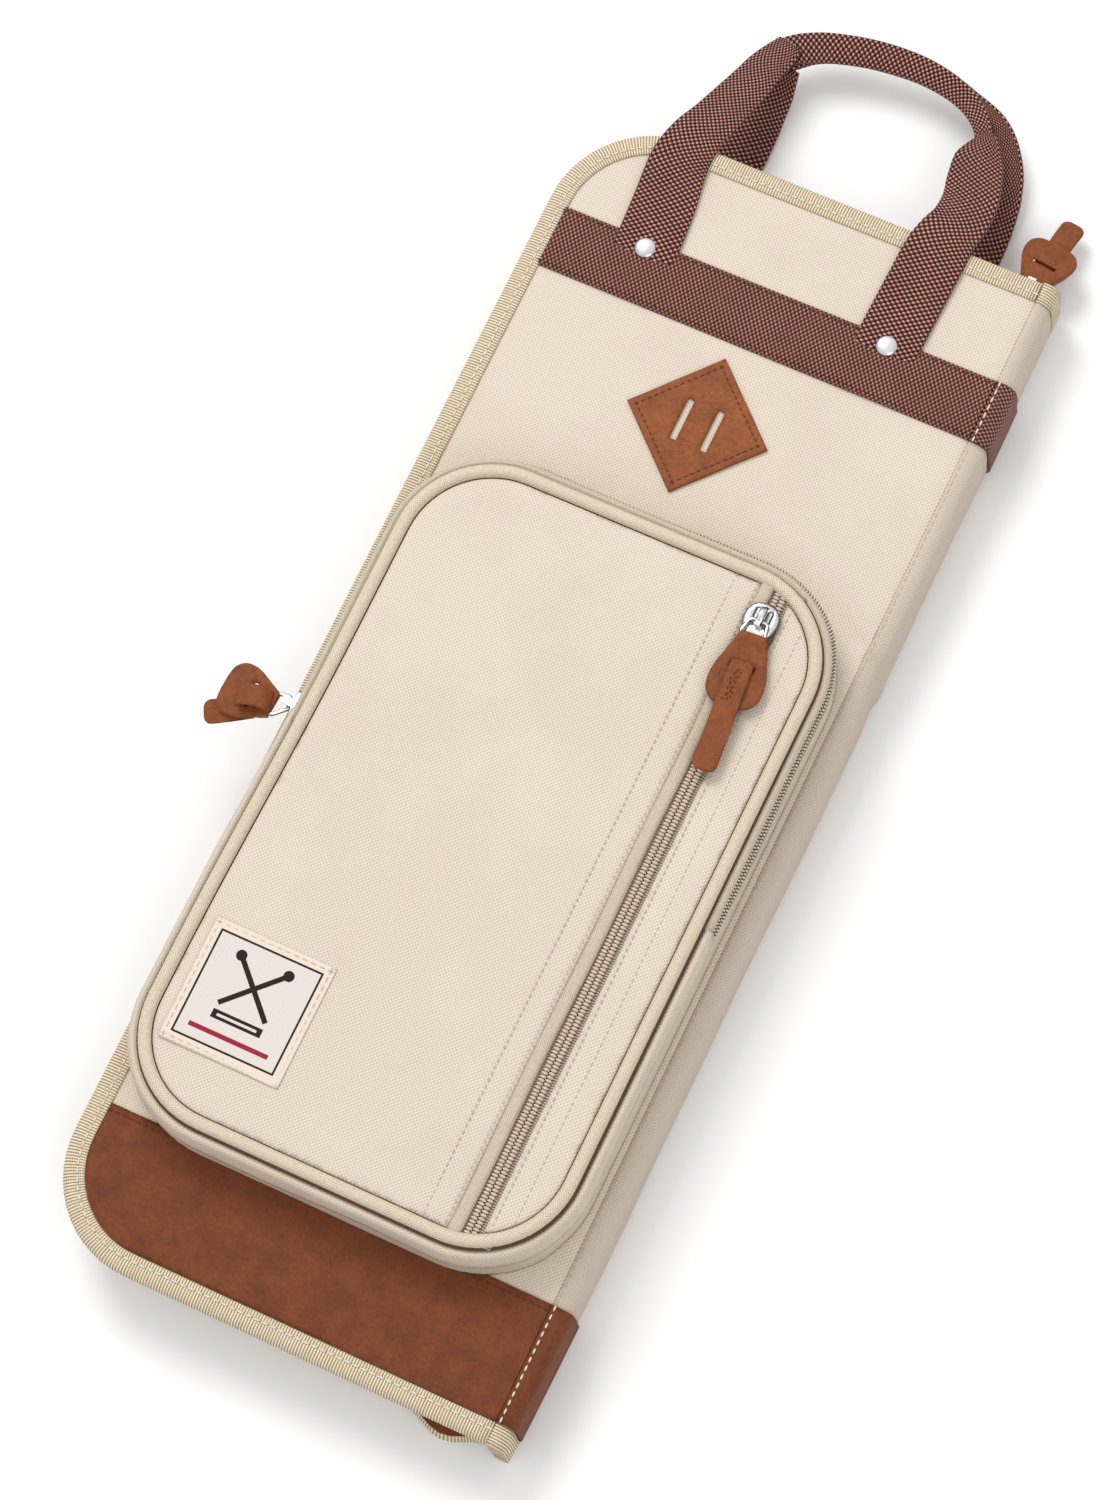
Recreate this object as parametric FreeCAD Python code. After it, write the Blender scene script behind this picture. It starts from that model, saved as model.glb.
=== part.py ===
import FreeCAD, Part
import math
import os

from FreeCAD import Vector

# Folding drum stick bag: two padded covers on a spine, a bellows pocket and two webbing handles.
# Millimetres. The bag lies on its back cover: +Z is out of the front cover, +X is towards the spine
# and +Y is towards the handles. The origin is at the centre of the back cover's outer face.

os.makedirs("parts", exist_ok=True)

# Whole bag
BAG_WIDTH = 194.0
BAG_HEIGHT = 480.0
CORNER_RADIUS = 40.0
HALF_WIDTH = BAG_WIDTH / 2
HALF_HEIGHT = BAG_HEIGHT / 2
GAP = 0.1

# Levels of the covers' outer faces, and the layers of one cover
BACK_FACE_Z = 2.1
FRONT_FACE_Z = 30.0
SHELL = 1.8
PADDING = 3.6
LINING = 0.8
BINDING_CLOTH = 0.55
BINDING_WIDTH = 9.0
BACK_INSIDE_Z = BACK_FACE_Z + SHELL + PADDING + LINING + 2 * GAP
FRONT_INSIDE_Z = FRONT_FACE_Z - SHELL - PADDING - LINING - 2 * GAP

# Spine: the covers end at the seam, and the spine's corners are rounded
SEAM_X = 91.3
COVER_END_X = SEAM_X - 0.3
SPINE_START_X = SEAM_X + 0.3
SPINE_RADIUS = HALF_WIDTH - SPINE_START_X
SPINE_CLOTH = 1.6

# Trim: leather base, webbing band, handles and rivets
TRIM = 1.4
BACK_TRIM = BACK_FACE_Z - GAP
LEATHER_TOP_Y = -185.4
BAND_LOW_Y = 171.1
BAND_HIGH_Y = 196.7
WEBBING_WIDTH = 25.0
WEBBING = 1.25
LEG_CENTRES_X = (-52.0, 48.0)
RIVET_Y = 193.0
RIVET_RADIUS = 4.5
POST_RADIUS = 1.6
CAP_SINK = 0.65
HANDLE_START_Y = BAND_HIGH_Y + 1.1
HANDLE_TOP_Y = 308.0
GRIP_WIDTH = 13.0
GRIP_THICKNESS = 2.6
BACK_HANDLE_SHIFT = 6.0

# Zippers: the coil's two halves leave a slot that the slider's web runs in
COIL_WIDTH = 2.4
COIL_THICKNESS = 1.6
TAPE = 0.8
WEB_SLOT = 1.4
MAIN_ZIP_Z = (BACK_INSIDE_Z + FRONT_INSIDE_Z) / 2
MAIN_ZIP_INSET = 4.0

# Bellows pocket on the front cover
POCKET_LEFT = -87.0
POCKET_RIGHT = 86.5
POCKET_LOW = -186.0
POCKET_HIGH = 92.0
POCKET_TOP_RADIUS = 30.0
POCKET_LOW_RADIUS = 38.0
POCKET_FACE_Z = 54.0
FACE_CLOTH = 1.8
WALL_INSET = 1.6
WALL_CLOTH = 1.2
FOLD_Y = -35.0
FOLD_GAP = 0.2
POCKET_ZIP_Z = 45.4
PIPING_RADIUS = 2.4
PIPING_INSET = 2.6
PIPING_Z = 52.7
BACKING_Z = 44.0
BACKING_CLOTH = 0.8

# Straight zipper down the pocket's face
FACE_ZIP_X = 55.5
FACE_SLOT = (49.0, 61.0)
FACE_SLOT_Y = (-172.5, 80.0)
FACE_TAPE_HALF = 12.0

# Sliders and pulls
SLIDER_WIDTH = 10.4
SLIDER_LENGTH = 12.0
PLATE = 1.3
PLATE_CLEARANCE = 0.3
WEB_WIDTH = 1.0
WIRE_RADIUS = 0.8
RING_LENGTH = 7.0
LONG_PULL = (36.0, 60.0)
SHORT_PULL = (27.0, 35.0)
MAIN_SLIDER_X = 84.5
POCKET_SLIDER_Y = -27.0
FACE_SLIDER_Y = 68.0
MAIN_PULL_TURN = -7.0
POCKET_PULL_TURN = 25.0

BIG = 1000.0


def save(name, shapes):
    """Writes one node: a solid, or several separate solids of the same kind."""
    shapes = shapes if isinstance(shapes, (list, tuple)) else [shapes]
    solids = [solid for shape in shapes for solid in shape.Solids]
    shape = solids[0] if len(solids) == 1 else Part.makeCompound(solids)
    shape.exportStep("parts/" + name + ".step")


def box(x, y, z):
    """A box between two values on each axis."""
    return Part.makeBox(x[1] - x[0], y[1] - y[0], z[1] - z[0], Vector(x[0], y[0], z[0]))


def rounded_loop(corners):
    """A closed wire through corners (x, y, radius), each rounded by an arc tangent to both sides."""
    count = len(corners)
    starts, ends, arcs = [], [], []
    for i, (x, y, radius) in enumerate(corners):
        here = Vector(x, y, 0)
        before = Vector(*corners[i - 1][:2], 0) - here
        after = Vector(*corners[(i + 1) % count][:2], 0) - here
        if radius <= 0:
            starts.append(here)
            ends.append(here)
            arcs.append(None)
            continue
        half = before.getAngle(after) / 2
        setback = radius / math.tan(half)
        before.normalize()
        after.normalize()
        middle = before + after
        middle.normalize()
        centre = here + middle * (radius / math.sin(half))
        starts.append(here + before * setback)
        ends.append(here + after * setback)
        arcs.append(centre - middle * radius)
    edges = []
    for i in range(count):
        if arcs[i]:
            edges.append(Part.Arc(starts[i], arcs[i], ends[i]).toShape())
        following = starts[(i + 1) % count]
        if (following - ends[i]).Length > 1e-6:
            edges.append(Part.makeLine(ends[i], following))
    return Part.Wire(edges)


def slab(wire, z):
    """A flat solid between two heights inside a wire drawn in the XY plane."""
    solid = Part.Face(wire).extrude(Vector(0, 0, z[1] - z[0]))
    solid.translate(Vector(0, 0, z[0]))
    return solid


def cover_outline(inset=0.0, right=COVER_END_X):
    """A cover's outline: rounded at its free corners, square at the spine."""
    low = -HALF_HEIGHT + inset
    left = -HALF_WIDTH + inset
    radius = CORNER_RADIUS - inset
    return rounded_loop(
        [(left, low, radius), (right, low, 0), (right, -low, 0), (left, -low, radius)]
    )


def cover_ring(outer, inner, z):
    """A wall along a cover's three free edges, between two insets, open at the spine."""
    hollow = slab(cover_outline(inner, COVER_END_X + 5), (z[0] - 1, z[1] + 1))
    return slab(cover_outline(outer), z).cut(hollow)


def pocket_outline(inset=0.0):
    """The bellows pocket's outline."""
    top = POCKET_TOP_RADIUS - inset
    low = POCKET_LOW_RADIUS - inset
    return rounded_loop(
        [
            (POCKET_LEFT + inset, POCKET_LOW + inset, low),
            (POCKET_RIGHT - inset, POCKET_LOW + inset, low),
            (POCKET_RIGHT - inset, POCKET_HIGH - inset, top),
            (POCKET_LEFT + inset, POCKET_HIGH - inset, top),
        ]
    )


def pocket_ring(outer, inner, z):
    """A wall round the pocket between two insets."""
    hollow = slab(pocket_outline(inner), (z[0] - 1, z[1] + 1))
    return slab(pocket_outline(outer), z).cut(hollow)


def above_fold(shape):
    """The part of a shape that turns with the pocket's flap."""
    return shape.common(box((-BIG, BIG), (FOLD_Y + FOLD_GAP, BIG), (-BIG, BIG)))


def below_fold(shape):
    """The part of a shape that stays on the front cover."""
    return shape.common(box((-BIG, BIG), (-BIG, FOLD_Y - FOLD_GAP), (-BIG, BIG)))


def posts(radius, z):
    """A round bar through each rivet's place."""
    bars = [
        Part.makeCylinder(radius, z[1] - z[0], Vector(x, RIVET_Y, z[0]))
        for x in LEG_CENTRES_X
    ]
    return Part.makeCompound(bars)


def handle_tabs(z, clearance=0.0):
    """The handle's two ends, tucked under the band."""
    half = WEBBING_WIDTH / 2 + clearance
    return [
        box((x - half, x + half), (BAND_LOW_Y + 0.5 - clearance, BAND_HIGH_Y + clearance), z)
        for x in LEG_CENTRES_X
    ]


# Covers ------------------------------------------------------------------------------------------


def cover(side, face_z, inward):
    """One cover: shell, padding, lining and binding. inward is +1 for the back and -1 for the front."""

    def layer(start, thickness):
        ends = (face_z + inward * start, face_z + inward * (start + thickness))
        return min(ends), max(ends)

    edge = BINDING_CLOTH + GAP
    tab_depth = WEBBING + 0.05
    washer_depth = 1.4
    shell = slab(cover_outline(edge), layer(0, SHELL))
    if side == "back":
        shell = shell.fuse(back_field()).removeSplitter()
    for recess in handle_tabs(layer(-1, tab_depth + 1), 0.2):
        shell = shell.cut(recess)
    shell = shell.cut(posts(POST_RADIUS + 0.05, layer(-1, SHELL + 2)))
    padding_start = SHELL + GAP
    padding = slab(cover_outline(edge), layer(padding_start, PADDING))
    padding = padding.cut(posts(RIVET_RADIUS + 0.2, layer(padding_start - 1, washer_depth + 1)))
    lining = slab(cover_outline(edge), layer(padding_start + PADDING + GAP, LINING))
    depth = SHELL + PADDING + LINING + 2 * GAP
    outside = layer(-GAP - BINDING_CLOTH, depth + 2 * (GAP + BINDING_CLOTH))
    channel = slab(cover_outline(BINDING_CLOTH, COVER_END_X + 5), layer(-GAP, depth + 2 * GAP))
    binding = cover_ring(0, BINDING_WIDTH, outside).cut(channel)
    save(side + "_shell", shell)
    save(side + "_padding", padding)
    save(side + "_lining", lining)
    save(side + "_binding", binding)


def back_field():
    """The back shell's raised middle, which the bag lies on, level with the trim round it."""
    field = slab(cover_outline(BINDING_WIDTH + 0.3), (0, BACK_FACE_Z))
    depth = (-1, BACK_FACE_Z)
    field = field.cut(box((-BIG, BIG), (-BIG, LEATHER_TOP_Y + 0.2), depth))
    field = field.cut(box((-BIG, BIG), (BAND_LOW_Y - 0.2, BAND_HIGH_Y + 0.2), depth))
    for x in LEG_CENTRES_X:
        half = WEBBING_WIDTH / 2 + 0.5
        field = field.cut(box((x - half, x + half), (BAND_HIGH_Y, BIG), depth))
    return field


def cover_trim(side, face_z, inward, thickness):
    """Leather base, webbing band, the handle's tucked ends and the rivets of one cover."""

    def layer(start, depth):
        ends = (face_z + inward * start, face_z + inward * (start + depth))
        return min(ends), max(ends)

    start_x = -HALF_WIDTH + BINDING_WIDTH + 0.2
    on_face = layer(-GAP - thickness, thickness)
    inside_binding = slab(cover_outline(BINDING_WIDTH + 0.2), on_face)
    leather = inside_binding.common(
        box((start_x, BIG), (-HALF_HEIGHT, LEATHER_TOP_Y), (-BIG, BIG))
    )
    band = box((start_x, COVER_END_X), (BAND_LOW_Y, BAND_HIGH_Y), on_face)
    band = band.cut(posts(POST_RADIUS + 0.05, (-BIG, BIG)))
    band = band.cut(posts(RIVET_RADIUS + 0.1, layer(-GAP - thickness - 1, 1 + CAP_SINK)))
    tabs = [
        tab.cut(posts(POST_RADIUS + 0.05, (-BIG, BIG))) for tab in handle_tabs(layer(0, WEBBING))
    ]
    save(side + "_base_leather", leather)
    save(side + "_band", band)
    save(side + "_handle_tabs", tabs)

    seat = -GAP - thickness + CAP_SINK
    post_length = -seat + SHELL + GAP + 1.25
    crown = 1.5 if side == "front" else CAP_SINK
    rivets = []
    washers = []
    for x in LEG_CENTRES_X:
        rivets.append(rivet(x, face_z + inward * seat, -inward, crown, post_length))
        washer_z = layer(SHELL + GAP + 0.2, 0.8)
        ring = Part.makeCylinder(RIVET_RADIUS, washer_z[1] - washer_z[0], Vector(x, RIVET_Y, washer_z[0]))
        washers.append(ring.cut(posts(POST_RADIUS + 0.05, (-BIG, BIG))))
    save(side + "_rivets", rivets)
    save(side + "_rivet_washers", washers)


def rivet(x, seat_z, outward, crown, post_length):
    """A cap rivet: a domed cap whose flat side is at seat_z, and its post."""
    cap = Part.makeCylinder(RIVET_RADIUS, crown, Vector(0, 0, 0))
    rim = [edge for edge in cap.Edges if edge.BoundBox.ZMin > crown / 2 and edge.Closed]
    cap = cap.makeFillet(min(crown * 0.9, 1.3), rim)
    post = Part.makeCylinder(POST_RADIUS, post_length, Vector(0, 0, 0), Vector(0, 0, -1))
    whole = cap.fuse(post).removeSplitter()
    if outward < 0:
        whole.rotate(Vector(0, 0, 0), Vector(1, 0, 0), 180)
    whole.translate(Vector(x, RIVET_Y, seat_z))
    return whole


# Spine -------------------------------------------------------------------------------------------


def spine_section(offset, start_x=SPINE_START_X):
    """The spine's outline in the XZ plane at an offset from its cloth, closed along start_x."""
    low = BACK_FACE_Z - offset
    high = FRONT_FACE_Z + offset
    right = HALF_WIDTH + offset
    radius = SPINE_RADIUS + offset
    diagonal = radius * math.sqrt(0.5)
    centre_low = Vector(right - radius, 0, low + radius)
    centre_high = Vector(right - radius, 0, high - radius)
    points = [
        Vector(start_x, 0, low),
        Vector(right - radius, 0, low),
        Vector(right, 0, low + radius),
        Vector(right, 0, high - radius),
        Vector(right - radius, 0, high),
        Vector(start_x, 0, high),
    ]
    low_middle = centre_low + Vector(diagonal, 0, -diagonal)
    high_middle = centre_high + Vector(diagonal, 0, diagonal)
    edges = [
        Part.Arc(points[1], low_middle, points[2]).toShape(),
        Part.makeLine(points[2], points[3]),
        Part.Arc(points[3], high_middle, points[4]).toShape(),
    ]
    if (points[1] - points[0]).Length > 1e-6:
        edges = [Part.makeLine(points[0], points[1])] + edges + [Part.makeLine(points[4], points[5])]
    edges.append(Part.makeLine(points[5], points[0]))
    return Part.Face(Part.Wire(edges))


def spine_bar(offset, y, start_x=SPINE_START_X):
    """The solid inside a spine section between two heights."""
    bar = spine_section(offset, start_x).extrude(Vector(0, y[1] - y[0], 0))
    bar.translate(Vector(0, y[0], 0))
    return bar


def spine_wrap(inner, outer, y):
    """A layer that wraps the spine between two offsets."""
    core = spine_bar(inner, (y[0] - 1, y[1] + 1), SPINE_START_X - abs(inner) - 5)
    return spine_bar(outer, y).cut(core)


def make_spine():
    length = (-HALF_HEIGHT + 0.8, HALF_HEIGHT - 0.8)
    z_low = BACK_FACE_Z + SPINE_CLOTH + 0.2
    z_high = FRONT_FACE_Z - SPINE_CLOTH - 0.2
    lining_x = (SPINE_START_X, SPINE_START_X + LINING)
    padding_x = (lining_x[1] + GAP, HALF_WIDTH - SPINE_CLOTH - GAP)
    save("spine_shell", spine_wrap(-SPINE_CLOTH, 0, length))
    save("spine_padding", box(padding_x, (length[0] + 1, length[1] - 1), (z_low + 3.7, z_high - 3.7)))
    save("spine_lining", box(lining_x, length, (z_low, z_high)))
    ends = []
    for low, high in ((-HALF_HEIGHT, -HALF_HEIGHT + BINDING_WIDTH), (HALF_HEIGHT - BINDING_WIDTH, HALF_HEIGHT)):
        ends.append(spine_wrap(GAP, GAP + BINDING_CLOTH, (low, high)))
    save("spine_end_binding", ends)
    save(
        "spine_base_leather",
        spine_wrap(GAP, GAP + TRIM, (-HALF_HEIGHT + BINDING_WIDTH + 0.2, LEATHER_TOP_Y)),
    )
    save("spine_band", spine_wrap(GAP, GAP + TRIM, (BAND_LOW_Y, BAND_HIGH_Y)))


# Main zipper and the inside ----------------------------------------------------------------------


def make_main_zipper():
    tape = (MAIN_ZIP_INSET, MAIN_ZIP_INSET + TAPE)
    coil = (MAIN_ZIP_INSET - GAP - COIL_THICKNESS, MAIN_ZIP_INSET - GAP)
    rim = GAP + BINDING_CLOTH + 0.05
    low = MAIN_ZIP_Z - WEB_SLOT / 2
    high = MAIN_ZIP_Z + WEB_SLOT / 2
    save("main_zip_back_tape", cover_ring(*tape, (BACK_INSIDE_Z + rim, low - 0.05)))
    save("main_zip_back_coil", cover_ring(*coil, (low - COIL_WIDTH, low)))
    save("main_zip_front_tape", cover_ring(*tape, (high + 0.05, FRONT_INSIDE_Z - rim)))
    save("main_zip_front_coil", cover_ring(*coil, (high, high + COIL_WIDTH)))


def sleeve(x, y, z, wall, down):
    """A flat pocket: a panel with walls on three sides, open towards +Y. down is where its walls end."""
    body = box(x, y, (min(z[0], down), max(z[1], down)))
    inside_z = (down - 1, z[0]) if down < z[0] else (z[1], down + 1)
    inside = box((x[0] + wall, x[1] - wall), (y[0] + wall, y[1] + 1), inside_z)
    return body.cut(inside)


def make_inside():
    wall = 1.0
    floor = BACK_INSIDE_Z + GAP
    tall_z = (floor + 2.5, floor + 3.3)
    short_z = (tall_z[1] + 2.6, tall_z[1] + 3.4)
    tall = ((-80.0, 80.0), (-220.0, 130.0))
    short = ((-80.0, 80.0), (-220.0, 30.0))
    save("stick_sleeve_tall", sleeve(*tall, tall_z, wall, floor))
    save("stick_sleeve_short", sleeve(*short, short_z, wall, tall_z[1] + GAP))
    ribs = []
    for share in (0.25, 0.5, 0.75):
        x = tall[0][0] + share * (tall[0][1] - tall[0][0])
        ribs.append(box((x - 0.6, x + 0.6), (-218.8, 126.0), (floor + GAP, tall_z[0] - GAP)))
    for share in (1 / 3, 2 / 3):
        x = short[0][0] + share * (short[0][1] - short[0][0])
        ribs.append(box((x - 0.6, x + 0.6), (-218.8, 26.0), (tall_z[1] + 2 * GAP, short_z[0] - GAP)))
    save("sleeve_dividers", ribs)
    ceiling = FRONT_INSIDE_Z - GAP
    slip_z = (ceiling - 3.9, ceiling - 3.1)
    save("inner_slip_pocket", sleeve((-62.0, 62.0), (42.0, 190.0), slip_z, wall, ceiling))


# Bellows pocket ----------------------------------------------------------------------------------


def make_pocket():
    foot = FRONT_FACE_Z + GAP
    zip_low = POCKET_ZIP_Z - WEB_SLOT / 2
    zip_high = POCKET_ZIP_Z + WEB_SLOT / 2
    wall_top = PIPING_Z - PIPING_RADIUS - 0.2
    gusset_top = zip_low - 5.8
    wall = (WALL_INSET, WALL_INSET + WALL_CLOTH)
    tape = (WALL_INSET, WALL_INSET + TAPE)
    coil = (WALL_INSET - GAP - COIL_THICKNESS, WALL_INSET - GAP)
    low_wall = pocket_ring(*wall, (foot, gusset_top))
    high_wall = below_fold(pocket_ring(*wall, (gusset_top, wall_top)))
    save("pocket_gusset", low_wall.fuse(high_wall).removeSplitter())
    save("pocket_zip_lower_tape", above_fold(pocket_ring(*tape, (gusset_top + GAP, zip_low - 0.05))))
    save("pocket_zip_lower_coil", above_fold(pocket_ring(*coil, (zip_low - COIL_WIDTH, zip_low))))
    save("pocket_zip_upper_tape", above_fold(pocket_ring(*tape, (zip_high + 0.05, wall_top))))
    save("pocket_zip_upper_coil", above_fold(pocket_ring(*coil, (zip_high, zip_high + COIL_WIDTH))))

    face = slab(pocket_outline(PIPING_INSET + PIPING_RADIUS + 0.3), (POCKET_FACE_Z - FACE_CLOTH, POCKET_FACE_Z))
    face = face.cut(box(FACE_SLOT, FACE_SLOT_Y, (POCKET_FACE_Z - 5, POCKET_FACE_Z + 1)))
    backing = slab(pocket_outline(WALL_INSET + 3.0), (BACKING_Z, BACKING_Z + BACKING_CLOTH))
    save("pocket_flap_face", above_fold(face))
    save("pocket_lower_face", below_fold(face))
    save("pocket_flap_backing", above_fold(backing))
    save("pocket_lower_backing", below_fold(backing))

    path = pocket_outline(PIPING_INSET)
    path.translate(Vector(0, 0, PIPING_Z))
    start = Vector(POCKET_LEFT + PIPING_INSET, 0, PIPING_Z)
    section = Part.Wire(Part.makeCircle(PIPING_RADIUS, start, Vector(0, 1, 0)))
    piping = path.makePipeShell([section], True, False)
    save("pocket_flap_piping", above_fold(piping))
    save("pocket_lower_piping", below_fold(piping))


def make_face_zipper():
    tape_z = (POCKET_FACE_Z - FACE_CLOTH - GAP - TAPE + 0.1, POCKET_FACE_Z - FACE_CLOTH - GAP)
    coil_z = (tape_z[1] + GAP, tape_z[1] + GAP + COIL_THICKNESS)
    tapes = []
    coils = []
    for side in (-1, 1):
        near = FACE_ZIP_X + side * (WEB_SLOT / 2 + 0.05)
        far = FACE_ZIP_X + side * FACE_TAPE_HALF
        tapes.append(box(sorted((near, far)), (FACE_SLOT_Y[0] - 2, FACE_SLOT_Y[1] + 4), tape_z))
        edge = FACE_ZIP_X + side * WEB_SLOT / 2
        coil_x = sorted((edge, edge + side * COIL_WIDTH))
        coils.append(box(coil_x, (FACE_SLOT_Y[0] + 0.5, FACE_SLOT_Y[1] - 0.5), coil_z))
    save("face_zip_upper_tape", [above_fold(tape) for tape in tapes])
    save("face_zip_upper_coil", [above_fold(coil) for coil in coils])
    save("face_zip_lower_tape", [below_fold(tape) for tape in tapes])
    save("face_zip_lower_coil", [below_fold(coil) for coil in coils])
    return coil_z[1], tape_z[0]


def make_patches():
    label_low = POCKET_FACE_Z + GAP
    save("label_patch", box((-76.3, -27.7), (-160.0, -111.0), (label_low, label_low + 0.6)))
    side = 40.0
    face = FRONT_FACE_Z + GAP
    patch = box((-side / 2, side / 2), (-side / 2, side / 2), (face, face + 1.6))
    fillets = [edge for edge in patch.Edges if abs(edge.tangentAt(edge.FirstParameter).z) > 0.9]
    patch = patch.makeFillet(2.0, fillets)
    patch.rotate(Vector(0, 0, 0), Vector(0, 0, 1), 48.0)
    slit_length = 17.5
    slit_width = 2.8
    for x in (-6.2, 6.2):
        slit = box((x - slit_width / 2, x + slit_width / 2), (-slit_length / 2, slit_length / 2), (-BIG, BIG))
        patch = patch.cut(slit)
    patch.translate(Vector(-3.6, 136.2, 0))
    save("lash_tab_patch", patch)


# Sliders and pulls -------------------------------------------------------------------------------


def slider_plates(outer_face, inner_face):
    """A slider in its own frame: it runs along Y, +Z is outward and 0 is the coil's outer face.

    outer_face is where the outer plate starts, and inner_face is where the inner plate ends.
    """
    plates = []
    for low, high in ((outer_face, outer_face + PLATE), (inner_face - PLATE, inner_face)):
        half_width = SLIDER_WIDTH / 2
        half_length = SLIDER_LENGTH / 2
        loop = rounded_loop(
            [
                (-half_width, half_length, 4.0),
                (-half_width + 1.5, -half_length, 2.5),
                (half_width - 1.5, -half_length, 2.5),
                (half_width, half_length, 4.0),
            ]
        )
        plates.append(slab(loop, (low, high)))
    half_web = WEB_WIDTH / 2
    web = box((-half_web, half_web), (0.5, 4.5), (inner_face - 0.5, outer_face + 0.5))
    return plates[0].fuse([plates[1], web])


def ring_path(near_half, near_y, near_radius):
    """The centreline of a pull's wire ring, in the XY plane, running towards -Y."""
    far_half = 5.0
    far_radius = 1.6
    return rounded_loop(
        [
            (-near_half, near_y, near_radius),
            (near_half, near_y, near_radius),
            (far_half, -RING_LENGTH, far_radius),
            (-far_half, -RING_LENGTH, far_radius),
        ]
    )


def wire_ring(near_half, near_y, near_radius):
    """A pull's wire ring."""
    path = ring_path(near_half, near_y, near_radius)
    edge = max(path.Edges, key=lambda e: -abs(e.BoundBox.Center.y + RING_LENGTH) + e.Length / 100)
    middle = (edge.FirstParameter + edge.LastParameter) / 2
    section = Part.Wire(Part.makeCircle(WIRE_RADIUS, edge.valueAt(edge.FirstParameter), edge.tangentAt(middle)))
    ordered = Part.Wire(Part.sortEdges([edge] + [e for e in path.Edges if not e.isSame(edge)])[0])
    return ordered.makePipeShell([section], True, False)


def pull_leather(paddle_end, strap_end):
    """The leather paddle, looped round the ring's far bar, and the strap through its slot."""
    sleeve_radius = 1.9
    half_neck = 3.1
    half_thick = 0.9
    tube = Part.makeCylinder(sleeve_radius, 2 * half_neck, Vector(-half_neck, -RING_LENGTH, 0), Vector(1, 0, 0))
    plate = slab(
        rounded_loop(
            [
                (-half_neck, -RING_LENGTH - 0.5, 0),
                (-half_neck, -RING_LENGTH - 1.5, 0.8),
                (-10.5, -RING_LENGTH - 9.0, 4.0),
                (-9.0, -paddle_end, 6.0),
                (9.0, -paddle_end, 6.0),
                (10.5, -RING_LENGTH - 9.0, 4.0),
                (half_neck, -RING_LENGTH - 1.5, 0.8),
                (half_neck, -RING_LENGTH - 0.5, 0),
            ]
        ),
        (-half_thick, half_thick),
    )
    paddle = tube.fuse(plate)
    hole = Part.makeCylinder(WIRE_RADIUS + 0.25, 40, Vector(-20, -RING_LENGTH, 0), Vector(1, 0, 0))
    slot = box((-5.0, 5.0), (-19.5, -17.5), (-5, 5))
    paddle = paddle.cut(hole).cut(slot)
    strap_low = half_thick + GAP
    strap = slab(
        rounded_loop(
            [(-4.5, -strap_end, 3.5), (4.5, -strap_end, 3.5), (4.5, -17.6, 0.5), (-4.5, -17.6, 0.5)]
        ),
        (strap_low, strap_low + 1.6),
    )
    return [paddle, strap]


def make_face_slider(coil_top, tape_low):
    """The slider on the pocket's face: the ring's near bar turns in an eye on its outer plate."""
    outer = max(coil_top + PLATE_CLEARANCE, POCKET_FACE_Z + GAP)
    body = slider_plates(outer, tape_low - PLATE_CLEARANCE)
    axis_z = outer + PLATE + 2.0
    eye = box((-1.1, 1.1), (-2.2, 4.5), (outer + PLATE - 0.3, axis_z + 1.9))
    hole = Part.makeCylinder(1.15, 10, Vector(-5, 0, axis_z), Vector(1, 0, 0))
    body = body.fuse(eye).cut(hole)
    place = Vector(FACE_ZIP_X, FACE_SLIDER_Y, 0)
    pull_place = Vector(FACE_ZIP_X, FACE_SLIDER_Y, axis_z)
    save("face_slider", moved(body, place))
    save("face_pull_ring", moved(wire_ring(3.4, 0.0, 1.5), pull_place))
    save("face_pull_leather", [moved(piece, pull_place) for piece in pull_leather(*LONG_PULL)])


def moved(shape, place):
    """A shape after a move."""
    shape = shape.copy()
    shape.translate(place)
    return shape


def wall_slider(outer, inner):
    """A slider for a zipper on a side wall: a post across two lugs carries the ring."""
    post_height = outer + PLATE + 3.4
    body = slider_plates(outer, inner)
    lugs = [
        box((x - 0.7, x + 0.7), (-1.6, 1.6), (outer + PLATE - 0.3, post_height + 1.2)) for x in (-3.4, 3.4)
    ]
    post = Part.makeCylinder(WIRE_RADIUS, 6.8, Vector(-3.4, 0, post_height), Vector(1, 0, 0))
    return body.fuse(lugs + [post]), post_height


def make_wall_slider(name, frame, turn, outer, inner):
    """A wall slider with its pull. frame turns the slider's own frame into the bag's."""
    body, post_height = wall_slider(outer, inner)
    body.transformShape(frame, True)
    axis = frame.multVec(Vector(0, 0, post_height))
    save(name + "_slider", body)
    outward = frame.multVec(Vector(0, 0, post_height + 1)) - axis
    heading = math.degrees(math.atan2(outward.y, outward.x)) + 90.0 + turn
    pieces = {"_pull_ring": [wire_ring(1.9, 1.9, 1.85)], "_pull_leather": pull_leather(*SHORT_PULL)}
    for ending, solids in pieces.items():
        for solid in solids:
            solid.rotate(Vector(0, 0, 0), Vector(0, 0, 1), heading)
            solid.translate(axis)
        save(name + ending, solids)


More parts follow.
